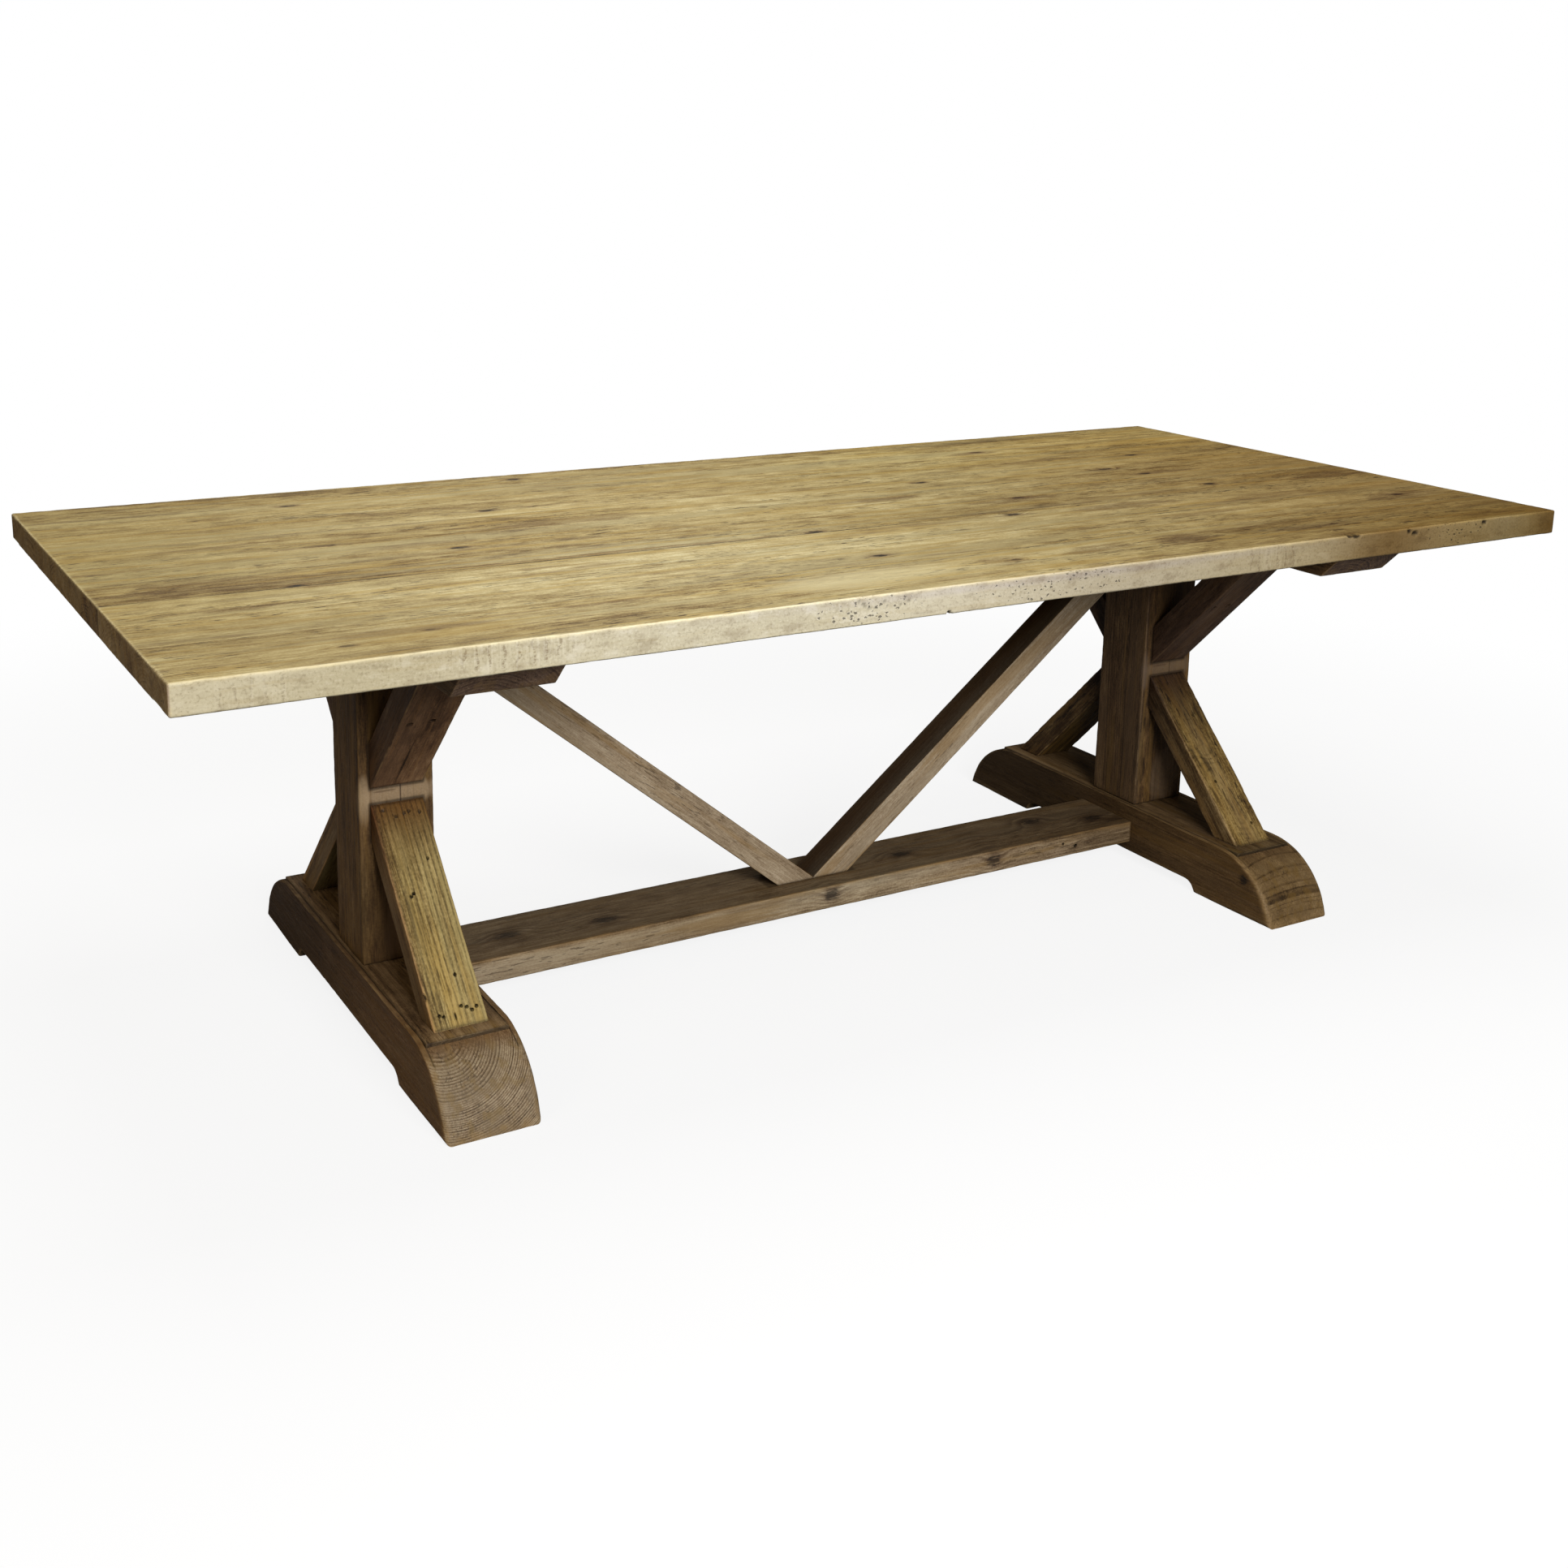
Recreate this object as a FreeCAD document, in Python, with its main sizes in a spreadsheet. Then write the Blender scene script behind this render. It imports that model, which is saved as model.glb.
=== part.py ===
import FreeCAD, Part
import math
import os
import re
import Sketcher

# A trestle dining table of reclaimed pine, in millimetres. +X runs along the top to the right, +Y away from
# the front edge, +Z up. The origin is on the floor, below the middle of the top.

SIZES = {
    "table_height": "750",
    # Top boards and the loose tongues between them
    "top_length": "2460",
    "top_thickness": "43",
    "board_width": "117",
    "front_board_width": "164",
    "tongue_thickness": "12",
    "tongue_width": "30",
    "tongue_stop": "60",
    "groove_clearance": "0.5",
    # Trestles, and the bearers under the top
    "top_overhang": "443",
    "bearer_width": "150",
    "bearer_height": "41",
    "bearer_inset": "25",
    "bearer_nib": "5",
    # Posts, with a tenon at each end
    "post_width": "120",
    "post_depth": "122",
    "tenon_width": "44",
    "tenon_depth": "70",
    "foot_tenon_length": "34",
    "bearer_tenon_length": "25",
    "tenon_clearance": "0.3",
    # Feet, and the plates let into them
    "foot_length": "888",
    "foot_width": "147",
    "foot_height": "110",
    "foot_relief": "19",
    "pad_length": "193",
    "cove_radius": "30",
    "toe_radius": "140",
    "toe_length": "99",
    "plate_width": "128",
    "plate_thickness": "16",
    "plate_gap": "0.6",
    "plate_margin": "24",
    # Braces of the trestles
    "brace_width": "85",
    "upper_brace_depth": "52",
    "upper_brace_bottom": "398",
    "upper_brace_reach": "264",
    "lower_brace_depth": "43",
    "lower_brace_top": "373",
    # Stretcher and its two braces
    "stretcher_width": "146",
    "stretcher_thickness": "43",
    "stretcher_bottom": "40",
    "stretcher_tenon_length": "36",
    "stretcher_tenon_width": "90",
    "stretcher_tenon_thickness": "22",
    "stretcher_brace_thickness": "60",
    "stretcher_brace_depth": "48",
    "stretcher_brace_shoulder": "6",
    "stretcher_brace_toe": "3",
    # Screws, all driven from sides that don't show, and dowels in the butt joints of the braces
    "screw_diameter": "6",
    "screw_head_diameter": "11",
    "screw_head_height": "4",
    "screw_sink": "12",
    "screw_bite": "25",
    "brace_screw_bite": "20",
    "plate_screw_sink": "6",
    "screw_clearance": "0.3",
    "bearer_screw_offset": "55",
    "bearer_screw_end": "30",
    "brace_screw_gap": "35",
    "stretcher_screw_gap": "28",
    "dowel_diameter": "12",
    "dowel_length": "44",
    "dowel_clearance": "0.2",
    "brace_dowel_gap": "40",
    "stretcher_dowel_gap": "30",
}
NARROW_BOARDS = 8

doc = FreeCAD.newDocument("TrestleTable")
sheet = doc.addObject("Spreadsheet::Sheet", "Sizes")
for row, (size_name, size_text) in enumerate(SIZES.items(), start=1):
    sheet.set(f"A{row}", size_name)
    sheet.set(f"B{row}", size_text)
    sheet.setAlias(f"B{row}", size_name)
doc.recompute()

# Places that follow from the sizes
TOP_WIDTH = f"(front_board_width + {NARROW_BOARDS} * board_width)"
TOP_UNDERSIDE = "(table_height - top_thickness)"
TOP_MIDDLE = "(table_height - top_thickness / 2)"
TONGUE_HALF = "(top_length / 2 - tongue_stop)"
BEARER_UNDERSIDE = f"({TOP_UNDERSIDE} - bearer_height)"
BEARER_HALF = f"({TOP_WIDTH} / 2 - bearer_inset)"
BEARER_FLAT_HALF = f"({BEARER_HALF} - bearer_height + bearer_nib)"
TRESTLE_OFFSET = "(top_length / 2 - top_overhang)"
POST_FACE = "(post_depth / 2)"
TOE_START = "(foot_length / 2 - sqrt(toe_radius ^ 2 - (toe_radius - foot_height) ^ 2))"
PAD_INNER = "(foot_length / 2 - pad_length)"
COVE_END = f"({PAD_INNER} - sqrt(cove_radius ^ 2 - (cove_radius - foot_relief) ^ 2))"
PLATE_HALF = "(foot_length / 2 - toe_length)"
UPPER_RISE = f"({BEARER_UNDERSIDE} - upper_brace_bottom)"
UPPER_SLANT = f"sqrt(upper_brace_reach ^ 2 + {UPPER_RISE} ^ 2)"
LOWER_DROP = "(lower_brace_top - foot_height)"
LOWER_REACH = f"({PLATE_HALF} - plate_margin - {POST_FACE})"
LOWER_SLANT = f"sqrt({LOWER_REACH} ^ 2 + {LOWER_DROP} ^ 2)"
STRETCHER_TOP = "(stretcher_bottom + stretcher_thickness)"
STRETCHER_HALF = f"({TRESTLE_OFFSET} - foot_width / 2)"
POST_INNER = f"({TRESTLE_OFFSET} - post_width / 2)"
STAY_RUN = f"({POST_INNER} - stretcher_brace_shoulder)"
STAY_RISE = f"({BEARER_UNDERSIDE} - {STRETCHER_TOP} - stretcher_brace_toe)"
STAY_SLANT = f"sqrt({STAY_RUN} ^ 2 + {STAY_RISE} ^ 2)"

SIDES = (("left", -1), ("right", 1))
FACES = (("front", -1), ("back", 1))
TURNS = {
    ("x", 1): FreeCAD.Rotation(FreeCAD.Vector(0, 1, 0), 90),
    ("x", -1): FreeCAD.Rotation(FreeCAD.Vector(0, 1, 0), -90),
    ("y", 1): FreeCAD.Rotation(FreeCAD.Vector(1, 0, 0), -90),
    ("y", -1): FreeCAD.Rotation(FreeCAD.Vector(1, 0, 0), 90),
    ("z", 1): FreeCAD.Rotation(),
    ("z", -1): FreeCAD.Rotation(FreeCAD.Vector(1, 0, 0), 180),
}

blanks = {}
holes = {}
groups = {}


def formula(text):
    """The text with every size's name pointed at its cell in the sheet."""
    return re.sub(r"[a-z_]+", lambda word: f"Sizes.{word[0]}" if word[0] in SIZES else word[0], text)


def number(text):
    """What an expression of sizes comes to."""
    return float(sheet.evalExpression(formula(text)))


def bind(thing, field, text):
    """Drives one property of a document object by an expression of sizes."""
    thing.setExpression(field, formula(text))


def new_body(name, along="0"):
    """A piece's body, standing at its place along the table."""
    body = doc.addObject("PartDesign::Body", f"{name}_blank")
    bind(body, "Placement.Base.x", along)
    blanks[name] = body
    holes[name] = []
    return body


def new_sketch(body, name, role, offset="0"):
    """An empty sketch on one of the body's own planes, moved along that plane's normal."""
    sketch = body.newObject("Sketcher::SketchObject", f"{body.Name}_{name}")
    plane = next(feature for feature in body.Origin.OriginFeatures if feature.Role == role)
    sketch.AttachmentSupport = [(plane, "")]
    sketch.MapMode = "FlatFace"
    bind(sketch, "AttachmentOffset.Base.z", offset)
    return sketch


def pin(sketch, geometry, point, kind, text):
    """Holds one coordinate of a sketch point at an expression of sizes, measured from the sketch's origin."""
    index = sketch.addConstraint(Sketcher.Constraint(kind, -1, 1, geometry, point, number(text)))
    bind(sketch, f"Constraints[{index}]", text)


def bearing(arm):
    """The angle of an arm from +X, wrapped straight down, where no arc of the outlines passes."""
    return (math.atan2(arm.y, arm.x) + math.pi / 2) % (2 * math.pi) - math.pi / 2


def draw_outline(sketch, corners):
    """A closed outline through corners (across, up). A corner that also has a centre's two coordinates starts
    an arc about it. An arc's end that stands straight above its centre takes its height from the arc."""
    first = sketch.GeometryCount
    count = len(corners)
    spots = [FreeCAD.Vector(number(corner[0]), number(corner[1]), 0) for corner in corners]
    ends = []
    loose = set()
    for index, corner in enumerate(corners):
        after = (index + 1) % count
        if len(corner) == 2:
            sketch.addGeometry(Part.LineSegment(spots[index], spots[after]))
            ends.append((1, 2))
            continue
        centre = FreeCAD.Vector(number(corner[2]), number(corner[3]), 0)
        start = bearing(spots[index] - centre)
        stop = bearing(spots[after] - centre)
        circle = Part.Circle(centre, FreeCAD.Vector(0, 0, 1), (spots[index] - centre).Length)
        sketch.addGeometry(Part.ArcOfCircle(circle, min(start, stop), max(start, stop)))
        ends.append((1, 2) if start < stop else (2, 1))
        loose.update(end for end in (index, after) if corners[end][0] == corner[2])
    for index, corner in enumerate(corners):
        before = (index - 1) % count
        start = ends[index][0]
        joint = Sketcher.Constraint("Coincident", first + before, ends[before][1], first + index, start)
        sketch.addConstraint(joint)
        pin(sketch, first + index, start, "DistanceX", corner[0])
        if index not in loose:
            pin(sketch, first + index, start, "DistanceY", corner[1])
        if len(corner) > 2:
            pin(sketch, first + index, 3, "DistanceX", corner[2])
            pin(sketch, first + index, 3, "DistanceY", corner[3])


def block(low, high):
    """The four corners of a rectangle between two corners."""
    return [(low[0], low[1]), (high[0], low[1]), (high[0], high[1]), (low[0], high[1])]


def centred(width, depth):
    """The four corners of a rectangle about the sketch's origin."""
    return block((f"-{width} / 2", f"-{depth} / 2"), (f"{width} / 2", f"{depth} / 2"))


def pad(body, sketch, length, side="One side", flip=False):
    """Grows the body from a sketch."""
    feature = body.newObject("PartDesign::Pad", f"{sketch.Name}_pad")
    feature.Profile = sketch
    feature.SideType = side
    feature.Reversed = flip
    bind(feature, "Length", length)
    doc.recompute()
    return feature


def pocket(body, sketch, depth, side="One side", flip=False):
    """Cuts the body from a sketch, and stops the build if nothing was cut."""
    before = body.Shape.Volume
    feature = body.newObject("PartDesign::Pocket", f"{sketch.Name}_pocket")
    feature.Profile = sketch
    feature.SideType = side
    feature.Reversed = flip
    bind(feature, "Length", depth)
    doc.recompute()
    if body.Shape.Volume >= before:
        raise RuntimeError(f"{feature.Name} cut nothing")
    return feature


def rod(name, place, axis, sign, back, length, diameter):
    """A round rod along an axis, which starts a distance back from a place and runs forward."""
    cylinder = doc.addObject("Part::Cylinder", name)
    cylinder.Placement = FreeCAD.Placement(FreeCAD.Vector(), TURNS[axis, sign])
    for letter, text in zip("xyz", place):
        start = f"{text} - {sign} * ({back})" if letter == axis else text
        bind(cylinder, f"Placement.Base.{letter}", start)
    bind(cylinder, "Height", length)
    bind(cylinder, "Radius", f"({diameter}) / 2")
    return cylinder


def drive_screw(group, place, axis, sign, grip, pieces, bite="screw_bite"):
    """A screw whose head is seated at a place, driven along an axis through its grip and on by its bite,
    and the counterbored hole that it sits in, taken out of each piece that it goes through."""
    name = f"{group}_{len(groups.setdefault(group, [])) + 1}"
    reach = f"{grip} + {bite}"
    head_height = "screw_head_height"
    head = rod(f"{name}_head", place, axis, sign, head_height, head_height, "screw_head_diameter")
    shank = rod(f"{name}_shank", place, axis, sign, "0", reach, "screw_diameter")
    screw = doc.addObject("Part::Fuse", name)
    screw.Base = head
    screw.Tool = shank
    groups[group].append(screw)
    mouth = "(2 * screw_sink + screw_head_diameter)"
    bore = "screw_head_diameter + 2 * screw_clearance"
    wide = rod(f"{name}_mouth", place, axis, sign, mouth, mouth, bore)
    slim = rod(f"{name}_pilot", place, axis, sign, "0", f"{reach} + screw_clearance",
               "screw_diameter + 2 * screw_clearance")
    hole = doc.addObject("Part::Fuse", f"{name}_hole")
    hole.Base = wide
    hole.Tool = slim
    for piece in pieces:
        holes[piece].append(hole)


def set_dowel(group, place, axis, pieces):
    """A dowel along an axis, with its middle at a place on a joint's face, and its hole in both pieces."""
    name = f"{group}_{len(groups.setdefault(group, [])) + 1}"
    dowel = rod(name, place, axis, 1, "dowel_length / 2", "dowel_length", "dowel_diameter")
    groups[group].append(dowel)
    hole = rod(f"{name}_hole", place, axis, 1, "dowel_length / 2 + dowel_clearance",
               "dowel_length + 2 * dowel_clearance", "dowel_diameter + 2 * dowel_clearance")
    for piece in pieces:
        holes[piece].append(hole)


# The top: one wide board along the front edge and narrower ones behind it, grooved along their seams
board_names = [f"top_board_{index + 1}" for index in range(NARROW_BOARDS + 1)]
seams = [f"({index} * board_width + front_board_width - {TOP_WIDTH} / 2)" for index in range(NARROW_BOARDS)]
board_edges = [f"(-{TOP_WIDTH} / 2)"] + seams + [f"({TOP_WIDTH} / 2)"]
for index, board_name in enumerate(board_names):
    front_edge = board_edges[index]
    back_edge = board_edges[index + 1]
    board = new_body(board_name)
    face = new_sketch(board, "face", "XY_Plane", TOP_UNDERSIDE)
    draw_outline(face, block(("-top_length / 2", front_edge), ("top_length / 2", back_edge)))
    pad(board, face, "top_thickness")
    groove = new_sketch(board, "groove", "XY_Plane", TOP_MIDDLE)
    groove_depth = "(tongue_width / 2 + groove_clearance)"
    if index > 0:
        groove_end = f"{front_edge} + {groove_depth}"
        draw_outline(groove, block((f"-{TONGUE_HALF}", front_edge), (TONGUE_HALF, groove_end)))
    if index < NARROW_BOARDS:
        groove_end = f"{back_edge} - {groove_depth}"
        draw_outline(groove, block((f"-{TONGUE_HALF}", groove_end), (TONGUE_HALF, back_edge)))
    pocket(board, groove, "tongue_thickness", side="Symmetric")

# The loose tongues, glued into the grooves of the boards on both sides of each seam
for index, seam in enumerate(seams):
    tongue = new_body(f"top_tongue_{index + 1}")
    face = new_sketch(tongue, "face", "XY_Plane", TOP_MIDDLE)
    tongue_end = f"({TONGUE_HALF} - groove_clearance)"
    draw_outline(face, block((f"-{tongue_end}", f"{seam} - tongue_width / 2"),
                             (tongue_end, f"{seam} + tongue_width / 2")))
    pad(tongue, face, "tongue_thickness", side="Symmetric")

for side_name, side in SIDES:
    trestle = f"{side} * {TRESTLE_OFFSET}"

    # The bearer: a flat timber across the boards, undercut at its ends, mortised for the post
    bearer = new_body(f"{side_name}_bearer", trestle)
    profile = new_sketch(bearer, "profile", "YZ_Plane")
    nib_foot = f"({TOP_UNDERSIDE} - bearer_nib)"
    draw_outline(profile, [
        (f"-{BEARER_HALF}", TOP_UNDERSIDE),
        (f"-{BEARER_HALF}", nib_foot),
        (f"-{BEARER_FLAT_HALF}", BEARER_UNDERSIDE),
        (BEARER_FLAT_HALF, BEARER_UNDERSIDE),
        (BEARER_HALF, nib_foot),
        (BEARER_HALF, TOP_UNDERSIDE),
    ])
    pad(bearer, profile, "bearer_width", side="Symmetric")
    mortise = new_sketch(bearer, "mortise", "XY_Plane", BEARER_UNDERSIDE)
    draw_outline(mortise, centred("tenon_width", "tenon_depth"))
    pocket(bearer, mortise, "bearer_tenon_length + tenon_clearance", flip=True)

    # The post: a square upright, tenoned through the foot plate and into the bearer
    post = new_body(f"{side_name}_post", trestle)
    section = new_sketch(post, "section", "XY_Plane", "foot_height")
    draw_outline(section, centred("post_width", "post_depth"))
    pad(post, section, f"{BEARER_UNDERSIDE} - foot_height")
    foot_tenon = new_sketch(post, "foot_tenon", "XY_Plane", "foot_height")
    draw_outline(foot_tenon, centred("tenon_width", "tenon_depth"))
    pad(post, foot_tenon, "foot_tenon_length", flip=True)
    top_tenon = new_sketch(post, "top_tenon", "XY_Plane", BEARER_UNDERSIDE)
    draw_outline(top_tenon, centred("tenon_width", "tenon_depth"))
    pad(post, top_tenon, "bearer_tenon_length")

    # The foot: a beam with round toes, relieved between its two pads, recessed for the plate
    foot = new_body(f"{side_name}_foot", trestle)
    profile = new_sketch(foot, "profile", "YZ_Plane")
    cove_low = "(foot_relief - cove_radius)"
    toe_low = "(foot_height - toe_radius)"
    draw_outline(profile, [
        (f"-{PAD_INNER}", "0", f"-{COVE_END}", cove_low),
        (f"-{COVE_END}", "foot_relief"),
        (COVE_END, "foot_relief", COVE_END, cove_low),
        (PAD_INNER, "0"),
        ("foot_length / 2", "0", TOE_START, toe_low),
        (TOE_START, "foot_height"),
        (f"-{TOE_START}", "foot_height", f"-{TOE_START}", toe_low),
        ("-foot_length / 2", "0"),
    ])
    pad(foot, profile, "foot_width", side="Symmetric")
    recess = new_sketch(foot, "recess", "XY_Plane", "foot_height")
    draw_outline(recess, centred("(plate_width + 2 * plate_gap)", f"(2 * {PLATE_HALF} + 2 * plate_gap)"))
    pocket(foot, recess, "plate_thickness")
    mortise = new_sketch(foot, "mortise", "XY_Plane", "foot_height")
    draw_outline(mortise, centred("tenon_width", "tenon_depth"))
    pocket(foot, mortise, "foot_tenon_length + tenon_clearance")
    socket = new_sketch(foot, "socket", "YZ_Plane", f"{-side} * foot_width / 2")
    tenon_low = "(stretcher_bottom + stretcher_thickness / 2 - stretcher_tenon_thickness / 2)"
    tenon_high = f"({tenon_low} + stretcher_tenon_thickness)"
    tenon_half = "stretcher_tenon_width / 2"
    draw_outline(socket, block((f"-{tenon_half}", tenon_low), (tenon_half, tenon_high)))
    pocket(foot, socket, "stretcher_tenon_length + tenon_clearance", flip=side > 0)

    # The foot plate: a board let in flush with the foot's top, under the post and the lower braces
    plate = new_body(f"{side_name}_foot_plate", trestle)
    face = new_sketch(plate, "face", "XY_Plane", "foot_height")
    draw_outline(face, centred("plate_width", f"(2 * {PLATE_HALF})"))
    pad(plate, face, "plate_thickness", flip=True)
    mortise = new_sketch(plate, "mortise", "XY_Plane", "foot_height")
    draw_outline(mortise, centred("tenon_width", "tenon_depth"))
    pocket(plate, mortise, "plate_thickness")

    for face_name, face_side in FACES:
        # The upper brace: from the post's face out and up to the bearer
        upper_name = f"{side_name}_{face_name}_upper_brace"
        upper = new_body(upper_name, trestle)
        profile = new_sketch(upper, "profile", "YZ_Plane")
        upper_seat = f"(upper_brace_depth * {UPPER_SLANT} / {UPPER_RISE})"
        upper_butt = f"(upper_brace_depth * {UPPER_SLANT} / upper_brace_reach)"
        draw_outline(profile, [
            (f"{face_side} * {POST_FACE}", "upper_brace_bottom"),
            (f"{face_side} * ({POST_FACE} + upper_brace_reach)", BEARER_UNDERSIDE),
            (f"{face_side} * ({POST_FACE} + upper_brace_reach - {upper_seat})", BEARER_UNDERSIDE),
            (f"{face_side} * {POST_FACE}", f"upper_brace_bottom + {upper_butt}"),
        ])
        pad(upper, profile, "brace_width", side="Symmetric")

        # The lower brace: from the post's face out and down to the foot plate
        lower_name = f"{side_name}_{face_name}_lower_brace"
        lower = new_body(lower_name, trestle)
        profile = new_sketch(lower, "profile", "YZ_Plane")
        lower_seat = f"(lower_brace_depth * {LOWER_SLANT} / {LOWER_DROP})"
        lower_butt = f"(lower_brace_depth * {LOWER_SLANT} / {LOWER_REACH})"
        draw_outline(profile, [
            (f"{face_side} * {POST_FACE}", "lower_brace_top"),
            (f"{face_side} * ({POST_FACE} + {LOWER_REACH})", "foot_height"),
            (f"{face_side} * ({POST_FACE} + {LOWER_REACH} - {lower_seat})", "foot_height"),
            (f"{face_side} * {POST_FACE}", f"lower_brace_top - {lower_butt}"),
        ])
        pad(lower, profile, "brace_width", side="Symmetric")

        # Both braces: a pair of screws from inside the bearer or the plate, and a pair of dowels in the post
        screws = f"{side_name}_brace_screws"
        dowels = f"{side_name}_brace_dowels"
        for pair in (-1, 1):
            across = f"{trestle} + {pair} * brace_screw_gap / 2"
            spot = f"{face_side} * ({POST_FACE} + upper_brace_reach - {upper_seat} / 2)"
            drive_screw(screws, (across, spot, f"{TOP_UNDERSIDE} - screw_sink"), "z", -1,
                        "(bearer_height - screw_sink)", (f"{side_name}_bearer", upper_name),
                        bite="brace_screw_bite")
            spot = f"{face_side} * ({POST_FACE} + {LOWER_REACH} - {lower_seat} / 2)"
            drive_screw(screws, (across, spot, "foot_height - plate_thickness + plate_screw_sink"), "z", 1,
                        "(plate_thickness - plate_screw_sink)", (f"{side_name}_foot_plate", lower_name),
                        bite="brace_screw_bite")
            across = f"{trestle} + {pair} * brace_dowel_gap / 2"
            spot = f"{face_side} * {POST_FACE}"
            height = f"upper_brace_bottom + {upper_butt} / 2"
            set_dowel(dowels, (across, spot, height), "y", (upper_name, f"{side_name}_post"))
            height = f"lower_brace_top - {lower_butt} / 2"
            set_dowel(dowels, (across, spot, height), "y", (lower_name, f"{side_name}_post"))

    # One screw up through the bearer into every board, staggered about the bearer's middle
    for index, board_name in enumerate(board_names):
        stagger = side if index % 2 else -side
        spot = f"({board_edges[index]} + {board_edges[index + 1]}) / 2"
        if index == 0:
            spot = f"-({BEARER_FLAT_HALF} - bearer_screw_end)"
        if index == NARROW_BOARDS:
            spot = f"{BEARER_FLAT_HALF} - bearer_screw_end"
        place = (f"{trestle} + {stagger} * bearer_screw_offset", spot, f"{BEARER_UNDERSIDE} + screw_sink")
        drive_screw(f"{side_name}_bearer_screws", place, "z", 1, "(bearer_height - screw_sink)",
                    (f"{side_name}_bearer", board_name))

# The stretcher: a flat board between the feet, with a stub tenon at each end
stretcher = new_body("stretcher")
face = new_sketch(stretcher, "face", "XY_Plane", "stretcher_bottom")
draw_outline(face, centred(f"(2 * {STRETCHER_HALF})", "stretcher_width"))
pad(stretcher, face, "stretcher_thickness")
tenons = new_sketch(stretcher, "tenons", "XY_Plane", "stretcher_bottom + stretcher_thickness / 2")
tenon_span = f"(2 * {STRETCHER_HALF} + 2 * stretcher_tenon_length)"
draw_outline(tenons, centred(tenon_span, "stretcher_tenon_width"))
pad(stretcher, tenons, "stretcher_tenon_thickness", side="Symmetric")

# The two stretcher braces: from the middle of the stretcher up to the posts, meeting at their toes
for side_name, side in SIDES:
    brace_name = f"{side_name}_stretcher_brace"
    brace = new_body(brace_name)
    profile = new_sketch(brace, "profile", "XZ_Plane")
    toe_run = f"(stretcher_brace_toe * {STAY_RUN} / {STAY_RISE})"
    seat = f"(stretcher_brace_depth * {STAY_SLANT} / {STAY_RISE} - {toe_run})"
    butt = f"((stretcher_brace_depth * {STAY_SLANT} - stretcher_brace_shoulder * {STAY_RISE}) / {STAY_RUN})"
    draw_outline(profile, [
        ("0", STRETCHER_TOP),
        (f"{side} * {seat}", STRETCHER_TOP),
        (f"{side} * {POST_INNER}", f"{BEARER_UNDERSIDE} - {butt}"),
        (f"{side} * {POST_INNER}", BEARER_UNDERSIDE),
        (f"{side} * {STAY_RUN}", BEARER_UNDERSIDE),
        ("0", f"{STRETCHER_TOP} + stretcher_brace_toe"),
    ])
    pad(brace, profile, "stretcher_brace_thickness", side="Symmetric")
    for pair in (-1, 1):
        across = f"{pair} * stretcher_screw_gap / 2"
        drive_screw("stretcher_brace_screws",
                    (f"{side} * {seat} / 2", across, "stretcher_bottom + screw_sink"), "z", 1,
                    "(stretcher_thickness - screw_sink)", ("stretcher", brace_name), bite="brace_screw_bite")
        across = f"{pair} * stretcher_dowel_gap / 2"
        set_dowel("stretcher_brace_dowels",
                  (f"{side} * {POST_INNER}", across, f"{BEARER_UNDERSIDE} - {butt} / 2"), "x",
                  (brace_name, f"{side_name}_post"))

# Each piece is its blank with its holes taken out, and each group of screws or dowels is one node
nodes = []
for name, blank in blanks.items():
    piece = blank
    if holes[name]:
        drill = doc.addObject("Part::Compound", f"{name}_drill")
        drill.Links = holes[name]
        piece = doc.addObject("Part::Cut", name)
        piece.Base = blank
        piece.Tool = drill
    piece.Label = name
    nodes.append(piece)
for name, fixings in groups.items():
    group = doc.addObject("Part::Compound", name)
    group.Links = fixings
    group.Label = name
    nodes.append(group)
doc.recompute()

failed = [thing.Name for thing in doc.Objects if "Invalid" in thing.State or "Error" in thing.State]
if failed:
    raise RuntimeError(f"not built: {failed}")
for node in nodes:
    if node.Shape.isNull() or not node.Shape.isValid():
        raise RuntimeError(f"{node.Label} has no valid shape")
    if node.Label in holes and len(node.Shape.Solids) != 1:
        raise RuntimeError(f"{node.Label} is not one solid")
    if holes.get(node.Label) and node.Shape.Volume >= blanks[node.Label].Shape.Volume:
        raise RuntimeError(f"{node.Label} has no holes")

os.makedirs("parts", exist_ok=True)
for node in nodes:
    node.Shape.exportStep(f"parts/{node.Label}.step")
    print(node.Label, len(node.Shape.Solids), round(node.Shape.Volume / 1000), "cm3")
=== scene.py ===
import math

import bpy
import numpy as np
from mathutils import Matrix, Vector


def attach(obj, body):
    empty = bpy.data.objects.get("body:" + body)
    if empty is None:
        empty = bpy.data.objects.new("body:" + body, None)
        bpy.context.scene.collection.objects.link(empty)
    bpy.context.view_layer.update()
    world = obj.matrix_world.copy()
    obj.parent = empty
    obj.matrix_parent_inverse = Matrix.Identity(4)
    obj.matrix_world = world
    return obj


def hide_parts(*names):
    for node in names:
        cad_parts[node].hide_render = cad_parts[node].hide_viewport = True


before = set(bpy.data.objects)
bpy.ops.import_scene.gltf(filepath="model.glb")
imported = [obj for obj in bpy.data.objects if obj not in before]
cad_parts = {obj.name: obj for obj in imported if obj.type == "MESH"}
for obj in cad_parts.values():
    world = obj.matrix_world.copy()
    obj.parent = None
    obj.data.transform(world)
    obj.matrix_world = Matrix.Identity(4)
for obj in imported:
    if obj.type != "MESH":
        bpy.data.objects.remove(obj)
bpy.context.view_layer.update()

# The feet: two beams of old pine across the table, with round toes, a pad at each end and a relieved
# underside between the pads. Each is cut with its pith in the beam, recessed on top for a plate, and shoes
# and brooms have rounded its arrises and left the rings of the toes bare.
FOOT_LENGTH = 0.888
FOOT_WIDTH = 0.147
FOOT_HEIGHT = 0.110
FOOT_RELIEF = 0.019
PAD_LENGTH = 0.193
COVE_RADIUS = 0.030
TOE_RADIUS = 0.140
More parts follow.
